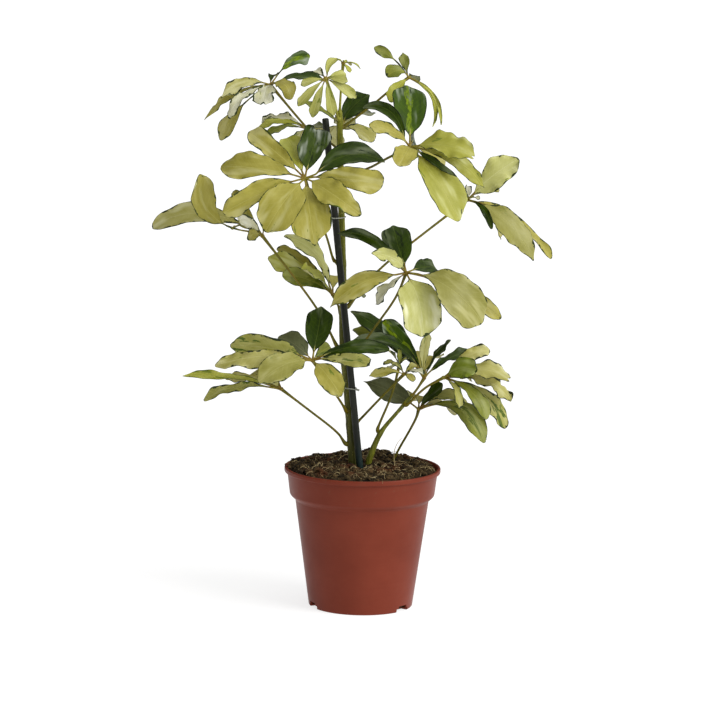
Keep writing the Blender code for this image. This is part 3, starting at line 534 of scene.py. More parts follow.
class Nodes:
    """A node tree. Each method adds a node and returns its output.

    A colour is either an output or the screen values that tone takes.
    """

    def __init__(self, tree):
        self.tree = tree

    def node(self, kind, values=None, **settings):
        made = self.tree.nodes.new(f"ShaderNode{kind}")
        for key, value in settings.items():
            setattr(made, key, value)
        for key, value in (values or {}).items():
            self.feed(made.inputs[key], value)
        return made

    def feed(self, socket, value):
        if isinstance(value, bpy.types.NodeSocket):
            self.tree.links.new(value, socket)
        elif isinstance(value, tuple) and socket.type == "RGBA":
            socket.default_value = tone(*value)
        else:
            socket.default_value = value

    def place(self):
        return self.node("TexCoord").outputs["Object"]

    def stretched(self, vector, scale):
        return self.node("Mapping", {"Vector": vector, "Scale": scale}).outputs["Vector"]

    def parts(self, vector):
        return self.node("SeparateXYZ", {"Vector": vector}).outputs

    def read(self, name):
        return self.node("Attribute", attribute_name=name).outputs["Vector"]

    def math(self, operation, first, second=0.0):
        return self.node("Math", {0: first, 1: second}, operation=operation).outputs["Value"]

    def plus(self, first, second):
        return self.math("ADD", first, second)

    def minus(self, first, second):
        return self.math("SUBTRACT", first, second)

    def times(self, first, second):
        return self.math("MULTIPLY", first, second)

    def noise(self, vector, scale, detail, roughness=0.55, distortion=0.0):
        """Cloudy noise. A scale for each direction stretches it."""
        if isinstance(scale, tuple):
            vector, scale = self.stretched(vector, scale), 1.0
        values = {"Vector": vector, "Scale": scale, "Detail": detail, "Roughness": roughness}
        return self.node("TexNoise", {**values, "Distortion": distortion}).outputs["Fac"]

    def ramp(self, value, *stops):
        """Colours or greys along the value, from (position, colour or number) stops."""
        made = self.node("ValToRGB", {"Fac": value})
        elements = made.color_ramp.elements
        while len(elements) < len(stops):
            elements.new(0.5)
        for element, (position, colour) in zip(elements, stops):
            element.position = position
            element.color = tone(*colour) if isinstance(colour, tuple) else (*(colour,) * 3, 1)
        return made.outputs["Color"]

    def band(self, value, low, high, bottom=0.0, top=1.0):
        """A number that goes from bottom to top as the value goes from low to high."""
        limits = {"From Min": low, "From Max": high, "To Min": bottom, "To Max": top}
        made = self.node("MapRange", {"Value": value, **limits}, interpolation_type="SMOOTHSTEP")
        return made.outputs["Result"]

    def mix(self, share, first, second, blend="MIX"):
        made = self.node("Mix", data_type="RGBA", blend_type=blend)
        colours = [socket for socket in made.inputs if socket.type == "RGBA"]
        self.feed(made.inputs[0], share)
        self.feed(colours[0], first)
        self.feed(colours[1], second)
        return [socket for socket in made.outputs if socket.type == "RGBA"][0]

    def blotched(self, colour, other, value, low, high, most=1.0):
        """The colour, with the other one over it as the value goes from low to high."""
        return self.mix(self.band(value, low, high, 0.0, most), colour, other)


class Finish(Nodes):
    """A node material on one Principled shader."""

    def __init__(self, name, roughness, specular):
        self.material = bpy.data.materials.new(name)
        self.material.use_nodes = True
        super().__init__(self.material.node_tree)
        self.shader = self.tree.nodes["Principled BSDF"]
        self.shader.inputs["Roughness"].default_value = roughness
        self.shader.inputs["Specular IOR Level"].default_value = specular

    def done(self, colour, height=None, depth=None, strength=None, roughness=None):
        """The material, with bumps as deep and strong as asked for where there is a height."""
        self.feed(self.shader.inputs["Base Color"], colour)
        if roughness is not None:
            self.feed(self.shader.inputs["Roughness"], roughness)
        if height is not None:
            bump = self.node("Bump", {"Height": height, "Distance": depth, "Strength": strength})
            self.feed(self.shader.inputs["Normal"], bump.outputs["Normal"])
        return self.material


# A leaf look: two tones of the blade, its veins, its margin and how wide that is in mm, the green
# stain and how much of the blade it takes, the pale painted sheen (a painted highlight) and how
# strong it is, roughness and gloss, how much more of the painted sheen lies towards the tip, and
# the tone of a lighter heart
Look = namedtuple(
    "Look",
    "light deep vein margin edge stain stained bloom blooming roughness gloss ending heart",
    defaults=(0.42, 0.26, 0.16, None),
)
LOOKS = {
    "khaki": Look(
        (164, 156, 73), (143, 136, 51), (176, 170, 94), (52, 62, 8),
        0.5, (100, 112, 34), 0.06, (196, 192, 138), 0.42,
    ),
    "cream": Look(
        (173, 168, 99), (153, 148, 72), (186, 182, 120), (34, 44, 10),
        0.62, (112, 122, 46), 0.06, (208, 206, 160), 0.55,
    ),
    "silver": Look(
        (194, 194, 124), (172, 172, 92), (206, 206, 146), (44, 56, 12),
        0.6, (112, 122, 46), 0.05, (224, 224, 190), 0.7, 0.4, ending=0.1,
    ),
    "young": Look(
        (172, 172, 94), (152, 153, 70), (186, 186, 116), (112, 120, 46),
        0.3, (110, 120, 40), 0.06, (196, 196, 132), 0.5,
    ),
    "straw": Look(
        (147, 144, 76), (131, 128, 57), (165, 162, 98), (40, 50, 8),
        0.6, (100, 110, 40), 0.06, (184, 180, 124), 0.5,
    ),
    "pale": Look(
        (212, 211, 186), (184, 182, 134), (216, 215, 190), (44, 56, 18),
        0.6, (124, 132, 66), 0.08, (226, 226, 208), 0.7,
    ),
    "lime": Look(
        (168, 169, 68), (145, 147, 44), (180, 180, 92), (84, 96, 22),
        0.3, (104, 116, 26), 0.1, (192, 193, 110), 0.45,
    ),
    "fresh": Look(
        (158, 157, 66), (141, 141, 47), (172, 172, 88), (50, 62, 14),
        0.45, (100, 112, 34), 0.08, (196, 198, 136), 0.55,
    ),
    "olive": Look(
        (124, 128, 42), (98, 106, 29), (148, 150, 66), (38, 50, 12),
        0.42, (78, 92, 22), 0.25, (156, 160, 96), 0.5, 0.38,
    ),
    "leafy": Look(
        (132, 146, 46), (104, 120, 26), (156, 166, 76), (44, 58, 12),
        0.45, (80, 100, 20), 0.15, (176, 184, 122), 0.45, 0.4,
    ),
    "streak": Look(
        (160, 158, 86), (137, 136, 58), (174, 172, 106), (34, 46, 10),
        0.66, (72, 90, 23), 0.32, (184, 181, 120), 0.5, 0.4,
    ),
    "dark": Look(
        (54, 72, 9), (35, 50, 4), (80, 94, 24), (20, 30, 5),
        0.35, (27, 41, 4), 0.2, (142, 150, 118), 0.4, 0.34, 0.13,
    ),
    # Dark green with a strong painted highlight (painted sheen) that gathers towards the tip
    "glossy": Look(
        (60, 76, 16), (38, 54, 8), (84, 98, 30), (20, 30, 5),
        0.35, (27, 41, 4), 0.2, (172, 178, 164), 0.75, 0.34, 0.16, 0.22,
    ),
    "heart": Look(
        (60, 82, 10), (41, 60, 4), (90, 108, 20), (20, 32, 5),
        0.35, (33, 50, 4), 0.1, (158, 168, 146), 0.6, 0.34, 0.13, heart=(108, 128, 13),
    ),
    "shaded": Look(
        (88, 92, 58), (70, 74, 42), (104, 106, 72), (36, 44, 18),
        0.4, (62, 68, 36), 0.15, (118, 122, 92), 0.4, 0.5, 0.3,
    ),
    "underside_pale": Look(
        (180, 178, 118), (158, 155, 90), (190, 186, 132), (56, 68, 28),
        0.45, (118, 128, 66), 0.08, (200, 198, 152), 0.4, 0.55, 0.3,
    ),
    "underside_green": Look(
        (120, 126, 72), (98, 106, 52), (142, 146, 92), (48, 60, 26),
        0.35, (84, 94, 44), 0.15, (146, 150, 104), 0.4, 0.5, 0.3,
    ),
}
UNDERSIDES = dict.fromkeys(("dark", "glossy", "heart", "olive", "leafy"), "underside_green")
VEIN_SPACING = 4.6
VEIN_SLOPE = 0.9
VEIN_DRIFT = 2.4
MIDRIB_WIDTH = 0.42
HEART_REACH = 4.2  # mm each way from the midrib
STAIN_SOFTNESS = 0.035

# The leaf skin's noises: how fine each is across and along the blade, and how unlike from blade
# to blade
CLOUDS = (0.2, 0.055, 40)
TINTS = (0, 0, 91)
# the pale patches of painted sheen, a painted highlight on the blades
PAINTED_SHEEN_PATCHES = (0.13, 0.032, 31)
HEART_EDGE = (0.3, 0.08, 17)
HEART_PATCHES = (0.7, 0.25, 5)
STAINS = (0.16, 0.04, 63)
RAGGEDNESS = (0.3, 0.16, 29)


def leaf_finish(name, look):
    """A blade's skin. It reads its place on the blade: across and along in mm, and the margin."""
    finish = Finish(name, look.roughness, look.gloss)
    where = finish.read("blade_place")
    across_mm, along_mm = finish.parts(where)[0:2]
    along, margin = finish.parts(finish.read("blade_share"))[1:3]
    side = finish.math("ABSOLUTE", across_mm)

    clouds = finish.noise(where, CLOUDS, 4)
    colour = finish.ramp(clouds, (0.32, look.deep), (0.68, look.light))
    shade = finish.ramp(finish.noise(where, TINTS, 0), (0.35, 0.84), (0.65, 1.0))
    colour = finish.mix(1.0, colour, shade, "MULTIPLY")
    # Painted sheen: pale patches, more of them towards the tip, painted in for the lamps' soft highlights
    pale = finish.plus(finish.noise(where, PAINTED_SHEEN_PATCHES, 2), finish.times(along, look.ending))
    colour = finish.blotched(colour, look.bloom, pale, 0.58, 0.82, look.blooming)

    if look.heart:
        wander = finish.band(finish.noise(where, HEART_EDGE, 4), 0.36, 0.6)
        reach = finish.minus(finish.times(wander, HEART_REACH), side)
        patches = finish.band(finish.noise(where, HEART_PATCHES, 4), 0.36, 0.56, 0.25, 0.95)
        lit = finish.times(finish.band(reach, 0.0, 1.8), patches)
        colour = finish.mix(lit, colour, look.heart)

    specks = finish.noise(where, STAINS, 5, 0.6, 0.4)
    level = 0.66 - 0.28 * look.stained
    colour = finish.blotched(colour, look.stain, specks, level, level + STAIN_SOFTNESS)

    phase = finish.minus(along_mm, finish.times(side, VEIN_SLOPE))
    phase = finish.plus(phase, finish.times(finish.noise(where, 0.12, 2), VEIN_DRIFT))
    wave = finish.math("SINE", finish.times(phase, 2 * pi / VEIN_SPACING))
    veins = finish.times(finish.band(wave, 0.8, 1.0), 0.3)
    lines = finish.math("MAXIMUM", veins, finish.band(side, MIDRIB_WIDTH, 0.2))
    colour = finish.mix(finish.times(lines, 0.4), colour, look.vein)

    ragged = finish.band(finish.noise(where, RAGGEDNESS, 3), 0.4, 0.74, 0.3, 3.4)
    edge = finish.minus(finish.times(ragged, look.edge), margin)
    colour = finish.blotched(colour, look.margin, edge, -0.1, 0.1)

    grain = finish.times(finish.noise(where, 1.6, 2), 0.35)
    height = finish.plus(grain, finish.times(lines, -0.8))
    rough = finish.ramp(clouds, (0.3, look.roughness + 0.08), (0.7, look.roughness - 0.05))
    return finish.done(colour, height, 0.00022, 0.7, rough)


def stalk_finish(name, deep, middle, warm, streak):
    """A leaf stalk: blotched from green to brown, with fine lengthwise streaks."""
    finish = Finish(name, 0.5, 0.25)
    where = finish.place()
    blotch = finish.noise(where, 90, 3)
    colour = finish.ramp(blotch, (0.3, deep), (0.55, middle), (0.75, warm))
    grain = finish.noise(where, (900, 900, 160), 3)
    colour = finish.blotched(colour, streak, grain, 0.4, 0.7, 0.35)
    return finish.done(colour, grain, 0.0001, 0.5)


def bark_finish(name, light, deep, scar, foot_tone=1.0):
    """Young bark: green, striped lengthwise, with pale corky specks, and darker lower down."""
    finish = Finish(name, 0.5, 0.3)
    where = finish.place()
    stripes = finish.noise(where, (520, 520, 38), 4)
    colour = finish.ramp(stripes, (0.34, deep), (0.62, light))
    # Darker towards the bottom of the stem: the colour is multiplied down to the tone given for its foot
    low_darkening = finish.ramp(finish.parts(where)[2], (0.15, foot_tone), (0.36, 1.0))
    colour = finish.mix(1.0, colour, low_darkening, "MULTIPLY")
    specks = finish.noise(finish.stretched(where, (1, 1, 0.6)), 620, 2)
    colour = finish.blotched(colour, scar, specks, 0.63, 0.7, 0.7)
    return finish.done(colour, finish.plus(stripes, finish.times(specks, 0.6)), 0.0003, 0.7)


def pot_finish():
    """Terracotta-coloured injection-moulded plastic, satin, with faint flow marks and dust."""
    finish = Finish("pot_plastic_skin", 0.45, 0.12)
    where = finish.place()
    height = finish.parts(where)[2]
    clouds = finish.noise(where, 26, 4)
    colour = finish.ramp(clouds, (0.3, (106, 47, 33)), (0.7, (116, 53, 38)))
    flow = finish.noise(where, (40, 40, 420), 3)
    colour = finish.blotched(colour, (100, 44, 32), flow, 0.35, 0.75, 0.12)
    dust = finish.band(finish.noise(where, 210, 5, 0.65), 0.56, 0.72)
    dust = finish.times(dust, finish.band(height, 0.085, 0.1165, 0.05, 0.35))
    colour = finish.mix(dust, colour, (104, 72, 54))
    relief = finish.plus(finish.noise(where, 900, 2), finish.times(flow, 0.5))
    rough = finish.ramp(clouds, (0.3, 0.48), (0.7, 0.38))
    return finish.done(colour, relief, 0.00006, 0.5, rough)


def soil_finish(name, light, deep, scale):
    """Dark crumbly compost with browner patches and darker clumps."""
    finish = Finish(name, 0.95, 0.2)
    where = finish.place()
    lumps = finish.noise(where, scale, 6, 0.7)
    colour = finish.ramp(lumps, (0.32, deep), (0.56, light), (0.74, (112, 94, 64)))
    patch = finish.noise(where, 48, 3)
    colour = finish.blotched(colour, (88, 52, 30), patch, 0.5, 0.64, 0.65)
    clump = finish.noise(where, 120, 4, 0.65)
    colour = finish.blotched(colour, (17, 14, 9), clump, 0.5, 0.38, 0.8)
    grit = finish.noise(where, scale * 6, 3)
    return finish.done(colour, finish.plus(lumps, grit), 0.0009, 0.9)


def stake_finish():
    """A plastic-coated cane: near black with a blue cast, teal and dusty towards the soil."""
    finish = Finish("stake_skin", 0.45, 0.22)
    where = finish.place()
    height = finish.parts(where)[2]
    clouds = finish.noise(where, (160, 160, 22), 4)
    colour = finish.ramp(clouds, (0.3, (22, 24, 19)), (0.7, (38, 40, 32)))
    low = finish.plus(height, finish.times(clouds, 0.03))
    colour = finish.blotched(colour, (22, 46, 46), low, 0.16, 0.13, 0.6)
    dust = finish.noise(where, 330, 4)
    colour = finish.blotched(colour, (80, 76, 66), dust, 0.6, 0.75, 0.3)
    return finish.done(colour, finish.noise(where, (700, 700, 60), 3), 0.0002, 0.6)


def mottled_finish(name, roughness, gloss, scale, stops, depth, strength, grain=None):
    """Tones along one noise, which is the relief too unless there is a finer grain."""
    finish = Finish(name, roughness, gloss)
    where = finish.place()
    blotch = finish.noise(where, scale, 3)
    relief = finish.noise(where, grain, 2) if grain else blotch
    return finish.done(finish.ramp(blotch, *stops), relief, depth, strength)


# ---------------------------------------------------------------- shapes


def placed(name, data):
    """An object with this data, in the scene."""
    made = bpy.data.objects.new(name, data)
    bpy.context.scene.collection.objects.link(made)
    return made


def mesh_of(name, points, faces):
    """A mesh in metres, from points in mm."""
    mesh = bpy.data.meshes.new(name)
    mesh.from_pydata([(x * MM, y * MM, z * MM) for x, y, z in points], [], faces)
    return mesh


class Shape:
    """One piece's mesh, gathered from parts that may each have their own finish."""

    def __init__(self):
        self.points, self.faces, self.looks, self.face_looks = [], [], [], []
        self.places, self.shares = [], []

    def add(self, points, faces, look, places=None, shares=None):
        """Adds points with the faces between them, and returns the number of the first one."""
        first = len(self.points)
        self.points.extend(tuple(point) for point in points)
        empty = [(0.0, 0.0, 0.0)] * len(points)
        self.places.extend(places or empty)
        self.shares.extend(shares or empty)
        self.cover(first, faces, look)
        return first

    def tube(self, line, radii, sides, look, axis=Vector((0.31, 0.87, 0.21))):
        """Adds a closed round tube whose first corner lies towards the axis."""
        points = []
        for number, (point, radius) in enumerate(zip(line, radii)):
            before, after = line[max(number - 1, 0)], line[min(number + 1, len(line) - 1)]
            ahead = (after - before).normalized()
            axis = across(axis, ahead)
            other = ahead.cross(axis)
            for angle in turns(sides):
                points.append(point + radius * (cos(angle) * axis + sin(angle) * other))
        ends = [ring(0, sides)[::-1], ring(len(line) - 1, sides)]
        self.add(points, ring_faces(len(line), sides) + ends, look)

    def cover(self, first, faces, look):
        """Adds faces whose corners are counted from the first point."""
        if look not in self.looks:
            self.looks.append(look)
        self.faces.extend(tuple(first + corner for corner in face) for face in faces)
        self.face_looks.extend([self.looks.index(look)] * len(faces))

    def build(self, node, finishes, slot, sharp=50):
        """The object that stands in for its CAD node."""
        mesh = mesh_of(f"{node}_fine", self.points, self.faces)
        mesh.validate()
        for key, values in (("blade_place", self.places), ("blade_share", self.shares)):
            if any(value != (0.0, 0.0, 0.0) for value in values):
                layer = mesh.attributes.new(key, "FLOAT_VECTOR", "POINT")
                layer.data.foreach_set("vector", np.array(values, np.float32).ravel())
        for look in self.looks:
            mesh.materials.append(finishes[look])
        mesh.polygons.foreach_set("material_index", self.face_looks)
        stand_for(node, mesh, sharp)


def stand_for(node, mesh, sharp):
    """Puts a mesh in the scene as a piece on the root body that replaces a CAD node."""
    mesh.shade_smooth()
    mesh.set_sharp_from_angle(angle=radians(sharp))
    made = placed(f"{node}_fine", mesh)
    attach(made, ROOT)
    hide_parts(node)


def across(vector, axis):
    """The unit vector nearest to this one that is square to the axis."""
    return (vector - vector.dot(axis) * axis).normalized()


def smoothed(points, rounds):
    """The line through these points with its corners cut, ends kept."""
    for _ in range(rounds):
        cut_line = [points[0]]
        for here, there in zip(points, points[1:]):
            cut_line += [here.lerp(there, 0.25), here.lerp(there, 0.75)]
        points = [*cut_line[:1], *cut_line[2:-1], points[-1]]
    return points


def turns(steps):
    """Angles spread evenly over a full turn."""
    return [2 * pi * step / steps for step in range(steps)]


def circle(radius, height, steps):
    """Points spread evenly round the upright axis."""
    return [(radius * cos(angle), radius * sin(angle), height) for angle in turns(steps)]


def ring(number, steps, first=0):
    """The points of one ring, as the corners of a face."""
    return tuple(range(first + number * steps, first + (number + 1) * steps))


def ring_faces(rings, steps, first=0, turned_over=False):
    """The faces between rings of points that follow one another."""
    faces = []
    for number in range(rings - 1):
        corners = ring(number, steps, first)
        for here, there in zip(corners, corners[1:] + corners[:1]):
            face = (here, there, there + steps, here + steps)
            faces.append((here, *face[:0:-1]) if turned_over else face)
    return faces


class Stem:
    """A stem's axis with its radius, read at any height."""

    def __init__(self, points):
        self.points = points

    def smoothed(self, rounds):
        return Stem(smoothed(self.points, rounds))

    def at(self, height):
        for low, high in zip(self.points, self.points[1:]):
            if height <= high.z:
                break
        spot = low.lerp(high, (height - low.z) / (high.z - low.z))
        return spot.xyz, spot.w, (high.xyz - low.xyz).normalized()

    def tip(self):
        return self.points[-1].xyz, (self.points[-1].xyz - self.points[-2].xyz).normalized()


# ---------------------------------------------------------------- leaves


def outline(share, taper):
    """A blade's width at a share of its length, before it is brought to 1 at the widest place."""
    return share**taper * (1 - share**3.6) ** 0.55


def eased(values, share):
    """A smooth curve through evenly spaced values, read at a share of its length."""
    place_of = share * (len(values) - 1)
    number = min(int(place_of), len(values) - 2)
    step = place_of - number
    before, here, there = values[max(number - 1, 0)], values[number], values[number + 1]
    after = values[min(number + 2, len(values) - 1)]
    slope, next_slope = (there - before) / 2, (after - here) / 2
    bend = 3 * (there - here) - 2 * slope - next_slope
    return here + step * (slope + step * (bend + step * (slope + next_slope - 2 * (there - here))))


def two_angles(chance):
    return chance.uniform(0, 2 * pi), chance.uniform(0, 2 * pi)


class Blade:
    """The middle surface of one leaflet's blade."""

    BLUNT = 0.972  # how far along the outline formula the blade's tip is
    OUTLINE_SAMPLES = 40
    BASE_HALF_WIDTH = 0.55
    TIP_SHARE = 0.18  # of a blade, over which its tip rounds off
    TIP_ROUNDING = 0.86
    NOTCH_BREADTH = 0.3  # of a half-width
    NOTCH_POWER = 6  # how late on the blade its tip is cut back
    FOLD_AT_BASE = 0.4  # share of the cup that a blade has where it starts
    FLATTEST = 1e-3  # the least bend of a half in radians, as an arc of none has no radius
    HOOK_START = 0.6
    OVERTONE = 2.6  # the margin's finer waves, for each of its broad ones
    FINE_WAVES = 0.4  # their height, as a share of that of the broad ones
    FINE_SWELLS = 0.35
    DRIFT = 1.6  # mm that a blade's end strays from its plan
    CUP_DRIFT = (0.75, 1.25)
    FULL_LENGTH = 45  # mm, from which on a blade has its whole waves and its thickest petiolule

    def __init__(self, hub, facing, leaflet, chance):
        self.hub, self.reach = hub, Vector(leaflet[:3])
        self.width, self.arch, self.roll = leaflet.width, leaflet.arch, leaflet.roll
        self.form = {**FORM, **leaflet.form}
        self.lift = across(facing, self.reach.normalized())
        self.length = self.reach.length * BLADE_SHARE
        self.size = min(1.0, self.length / self.FULL_LENGTH)
        samples = [step / self.OUTLINE_SAMPLES for step in range(self.OUTLINE_SAMPLES)]
        self.widest = max(outline(share, self.form["taper"]) for share in samples)
        self.cup = self.form["cup"] * chance.uniform(*self.CUP_DRIFT)
        self.phases = two_angles(chance)
        self.swells = two_angles(chance)
        self.seed = chance.random()
        self.finer = two_angles(chance)
        self.stray = [chance.uniform(-1, 1) * self.DRIFT * self.size for _ in range(2)]

    def spine(self, share):
        """The midrib's place at a share of the whole leaflet, its direction, up and left."""
        spot = self.hub + share * self.reach + 4 * share * (1 - share) * self.arch * self.lift
        ahead = (self.reach + 4 * (1 - 2 * share) * self.arch * self.lift).normalized()
        along = max(0.0, (share - PETIOLULE_SHARE) / BLADE_SHARE)
        turn = radians(self.roll + self.form["lean"])
        up = Matrix.Rotation(turn, 3, ahead) @ across(self.lift, ahead)
        left = up.cross(ahead)
        end = max(0.0, (along - self.HOOK_START) / (1 - self.HOOK_START))
        spot = spot + up * (self.form["hook"] + self.stray[0]) * end * end
        bow = self.form["sweep"] + self.stray[1]
        spot = spot + left * bow * 4 * along * (1 - along)
        return spot, ahead, up, left

    def ripple(self, along, phase, fine_phase, fine_share):
        """The margin's broad waves, with the finer ones on them."""
        waves = self.form["waves"]
        broad = sin(2 * pi * waves * along + phase)
        return broad + fine_share * sin(2 * pi * self.OVERTONE * waves * along + fine_phase)

    def half_width(self, along, side):
        """From the midrib to the margin, on one side."""
        form = self.form
        share = max(0.0, (along - form["neck"]) / (1 - form["neck"]))
        stations = form[("left", "right")[side]] or form["both"]
        if stations:
            ending = max(0.0, 1 - (1 - share) / self.TIP_SHARE)
            half = self.width / 20 * eased((0, *stations), share)
            half *= (1 - self.TIP_ROUNDING * ending**2) ** 0.5
        else:
            half = self.width / 2 * outline(share * self.BLUNT, form["taper"]) / self.widest
        swell = self.ripple(along, self.swells[side], self.finer[side], self.FINE_SWELLS)
        return max(self.BASE_HALF_WIDTH, half * (1 + form["lobes"] * swell))

    def point(self, along, span):
        """A point of the surface: along from 0 to 1, and span from -1 at the right to 1."""
        form, side = self.form, 0 if span > 0 else 1
        half = self.half_width(along, side)
        cutback = form["notch"] * exp(-((span / self.NOTCH_BREADTH) ** 2))
        cutback += form["corner"] * abs(span) ** 3
        at = along - along**self.NOTCH_POWER * cutback
        spot, _, up, left = self.spine(PETIOLULE_SHARE + BLADE_SHARE * at)
        cup = self.cup * min(1.0, self.FOLD_AT_BASE + 2 * along)
        bend = radians(cup + form["curl"][side] * along**2)
        bend = bend if abs(bend) > self.FLATTEST else self.FLATTEST
        over = half * sin(bend * abs(span)) / bend
        rise = half * (1 - cos(bend * abs(span))) / bend
        waving = self.ripple(along, self.phases[side], self.finer[1 - side], self.FINE_WAVES)
        rise += form["wave"] * self.size * abs(span) ** 2 * (waving * min(1, 3 * along))
        place_of = spot + left * over * (1 if span > 0 else -1) + up * rise
        edge = min((1 - abs(span)) * half, (1 - along) * self.length * 0.8)
        return place_of, (span * half, at * self.length, self.seed), (span, along, edge)

    def build(self, shape, look):
        """Adds the blade: its two faces, with the rim between them."""
        rows = max(FEWEST_ROWS, min(MOST_ROWS, round(self.length / ROW_SPACING)))
        wide = len(COLUMNS)
        shares_along = [1 - (1 - row / rows) ** TIP_CROWDING for row in range(rows + 1)]
        surface = [self.point(along, span) for along in shares_along for span in COLUMNS]
        points, places, shares = (list(values) for values in zip(*surface))
        grid = np.array(points).reshape(rows + 1, wide, 3)
        normals = np.cross(np.gradient(grid, axis=0), np.gradient(grid, axis=1))
        normals /= np.maximum(np.linalg.norm(normals, axis=2, keepdims=True), 1e-9)
        if (normals[rows // 2, wide // 2] @ np.array(self.spine(0.6)[2])) < 0:
            normals = -normals
        thick = np.full((rows + 1, wide, 1), BLADE_THICKNESS / 2)
        thick[:, [0, -1]] = thick[[0, -1]] = EDGE_THICKNESS / 2
        upper = (grid + normals * thick).reshape(-1, 3)
        lower = (grid - normals * thick).reshape(-1, 3)
        count = len(upper)
        number = np.arange(count).reshape(rows + 1, wide)
        corners = number[:-1, :-1], number[:-1, 1:], number[1:, 1:], number[1:, :-1]
        under = np.stack(corners, 2).reshape(-1, 4).tolist()
        top = [(a, d, c, b) for a, b, c, d in under]
        border = [*number[:0:-1, 0], *number[0, :-1], *number[:-1, -1], *number[-1, :0:-1]]
        rim = [
            (here, there, there + count, here + count)
            for here, there in zip(border, border[1:] + border[:1])
        ]
        first = shape.add([*upper, *lower], top + rim, look, places * 2, shares * 2)
        shape.cover(first + count, under, UNDERSIDES.get(look, "underside_pale"))

    def midrib(self, shape):
        """The petiolule, which goes on as the raised midrib on the underside."""
        end = PETIOLULE_SHARE + BLADE_SHARE * MIDRIB_SHARE
        start = PETIOLULE_START * HUB_RADIUS / self.reach.length
        swelling, swollen = PETIOLULE_SWELLING
        line, radii = [], []
        for step in range(MIDRIB_STEPS + 1):
            share = start + (end - start) * step / MIDRIB_STEPS
            spot, _, up, _ = self.spine(share)
            along = max(0.0, (share - PETIOLULE_SHARE) / (end - PETIOLULE_SHARE))
            radius = PETIOLULE_RADIUS * max(PETIOLULE_THINNEST, self.size)
            radius += (MIDRIB_END_RADIUS - radius) * min(1.0, 1.25 * along) ** 0.7
            radius *= 1 + swelling * exp(-(((share - start) * self.reach.length / swollen) ** 2))
            line.append(spot - up * radius * min(1.0, 0.35 + 3 * along) * MIDRIB_SINK)
            radii.append(radius)
        bare = PETIOLULE_SHARE + PETIOLULE_OVERLAP - start
        bare = max(2, round(MIDRIB_STEPS * bare / (end - start)))
        shape.tube(line[: bare + 1], radii[: bare + 1], MIDRIB_SIDES, "petiolule", self.lift)
        shape.tube(line[bare:], radii[bare:], MIDRIB_SIDES, "midrib", self.lift)


def stalk_line(leaf, stems):
    """The stalk's axis, from its base on the stem to just under the hub."""
    hub, via = Vector(leaf.hub), [Vector(point) for point in leaf.via]
    bearer, where = leaf.base
    if bearer == "soil":
        start = [Vector(where)]
    elif where == "tip":
        tip, onward = stems[bearer].tip()
        start = [tip + onward * (GAP - STALK_SINK), tip + onward * STALK_RUN]
    else:
        axis, radius, along = stems[bearer].at(where)
        out = across(via[0] - axis, along)
        base = axis + out * (radius + GAP)
        start = [base - STALK_SINK * out]
        start += [base + away * out + rise * along for away, rise in STALK_SPRING]
    end = hub - (hub - via[-1]).normalized() * STALK_END * HUB_RADIUS
    return smoothed([*start, *via, end], SMOOTHING)


def build_stalk(shape, leaf, stems):
    """The round leaf stalk, swollen where it leaves its stem and a little under its hub."""
    line = stalk_line(leaf, stems)
    total = sum((there - here).length for here, there in zip(line, line[1:]))
    walked, radii, previous = 0.0, [], line[0]
    for point in line:
        walked += (point - previous).length
        previous = point
        near_base = max(0.0, 1 - walked / total / FLARE_SHARE)
        near_hub = exp(-(((total - walked) / STALK_NECK_LENGTH) ** 2))
        slim = 1 - STALK_WAIST * sin(pi * walked / total)
        flare = (STALK_FLARE - 1) * near_base**1.4
        radii.append(STALK_RADIUS * (slim + flare + STALK_NECK * near_hub))
    look = "young_stalk" if leaf.name in YOUNG_LEAVES else "stalk"
    shape.tube(line, radii, STALK_SIDES, look)


def build_hub(shape, hub, facing):
    """The small knob that the petiolules spring from."""
    first_axis = across(CROSSWISE, facing)
    second_axis = facing.cross(first_axis)
    points = []
    for number in range(1, HUB_RINGS):
        tilt = pi * number / HUB_RINGS
        for angle in turns(HUB_STEPS):
            ridge = 1 + HUB_RIDGE_HEIGHT * sin(HUB_RIDGES * angle)
            radius = HUB_RADIUS * HUB_WIDTH * sin(tilt) * ridge
            flat = radius * (cos(angle) * first_axis + sin(angle) * second_axis)
            points.append(hub + flat + facing * HUB_RADIUS * HUB_HEIGHT * cos(tilt))
    faces = ring_faces(HUB_RINGS - 1, HUB_STEPS, turned_over=True)
    faces += [ring(0, HUB_STEPS), ring(HUB_RINGS - 2, HUB_STEPS)[::-1]]
    shape.add(points, faces, "petiolule")


def build_leaf(leaf, stems, finishes):
    """One compound leaf: its blades with their midribs, its hub and its stalk."""
    shape = Shape()
    hub, facing = Vector(leaf.hub), Vector(leaf.facing).normalized()
    for number, leaflet in enumerate(leaf.leaflets):
        blade = Blade(hub, facing, leaflet, random.Random(f"{leaf.name} {number}"))
        blade.build(shape, leaflet.look)
        blade.midrib(shape)
    build_hub(shape, hub, facing)
    build_stalk(shape, leaf, stems)
    shape.build(leaf.name, finishes, "leaf")


# ---------------------------------------------------------------- stems, stake and ties


def build_stem(name, stem, look, finishes):
    """A stem with a swelling where each leaf springs and a ring scar a little lower."""
    springs = [leaf.base[1] for leaf in LEAVES if leaf.base[0] == name and leaf.base[1] != "tip"]
    finer = stem.smoothed(SMOOTHING)
    foot, top = finer.points[0].z, finer.points[-1].z
    rings = round((top - foot) / STEM_RING_SPACING)
    line, radii = [], []
    for number in range(rings + 1):
        height = foot + (top - foot) * number / rings
        spot, radius, _ = finer.at(min(height, top - 1e-4))
        for spring in springs:
            for bulge, below, reach in NODE_BULGES:
                radius += bulge * exp(-(((height - spring + below) / reach) ** 2))
        radius += BARK_UNEVENNESS * noise.noise(Vector((0, 0, height * BARK_WAVINESS)))
        line.append(spot)
        radii.append(radius)
    shape = Shape()
    shape.tube(line, radii, STEM_SIDES, look, CROSSWISE)
    shape.build(name, finishes, "green_stem")


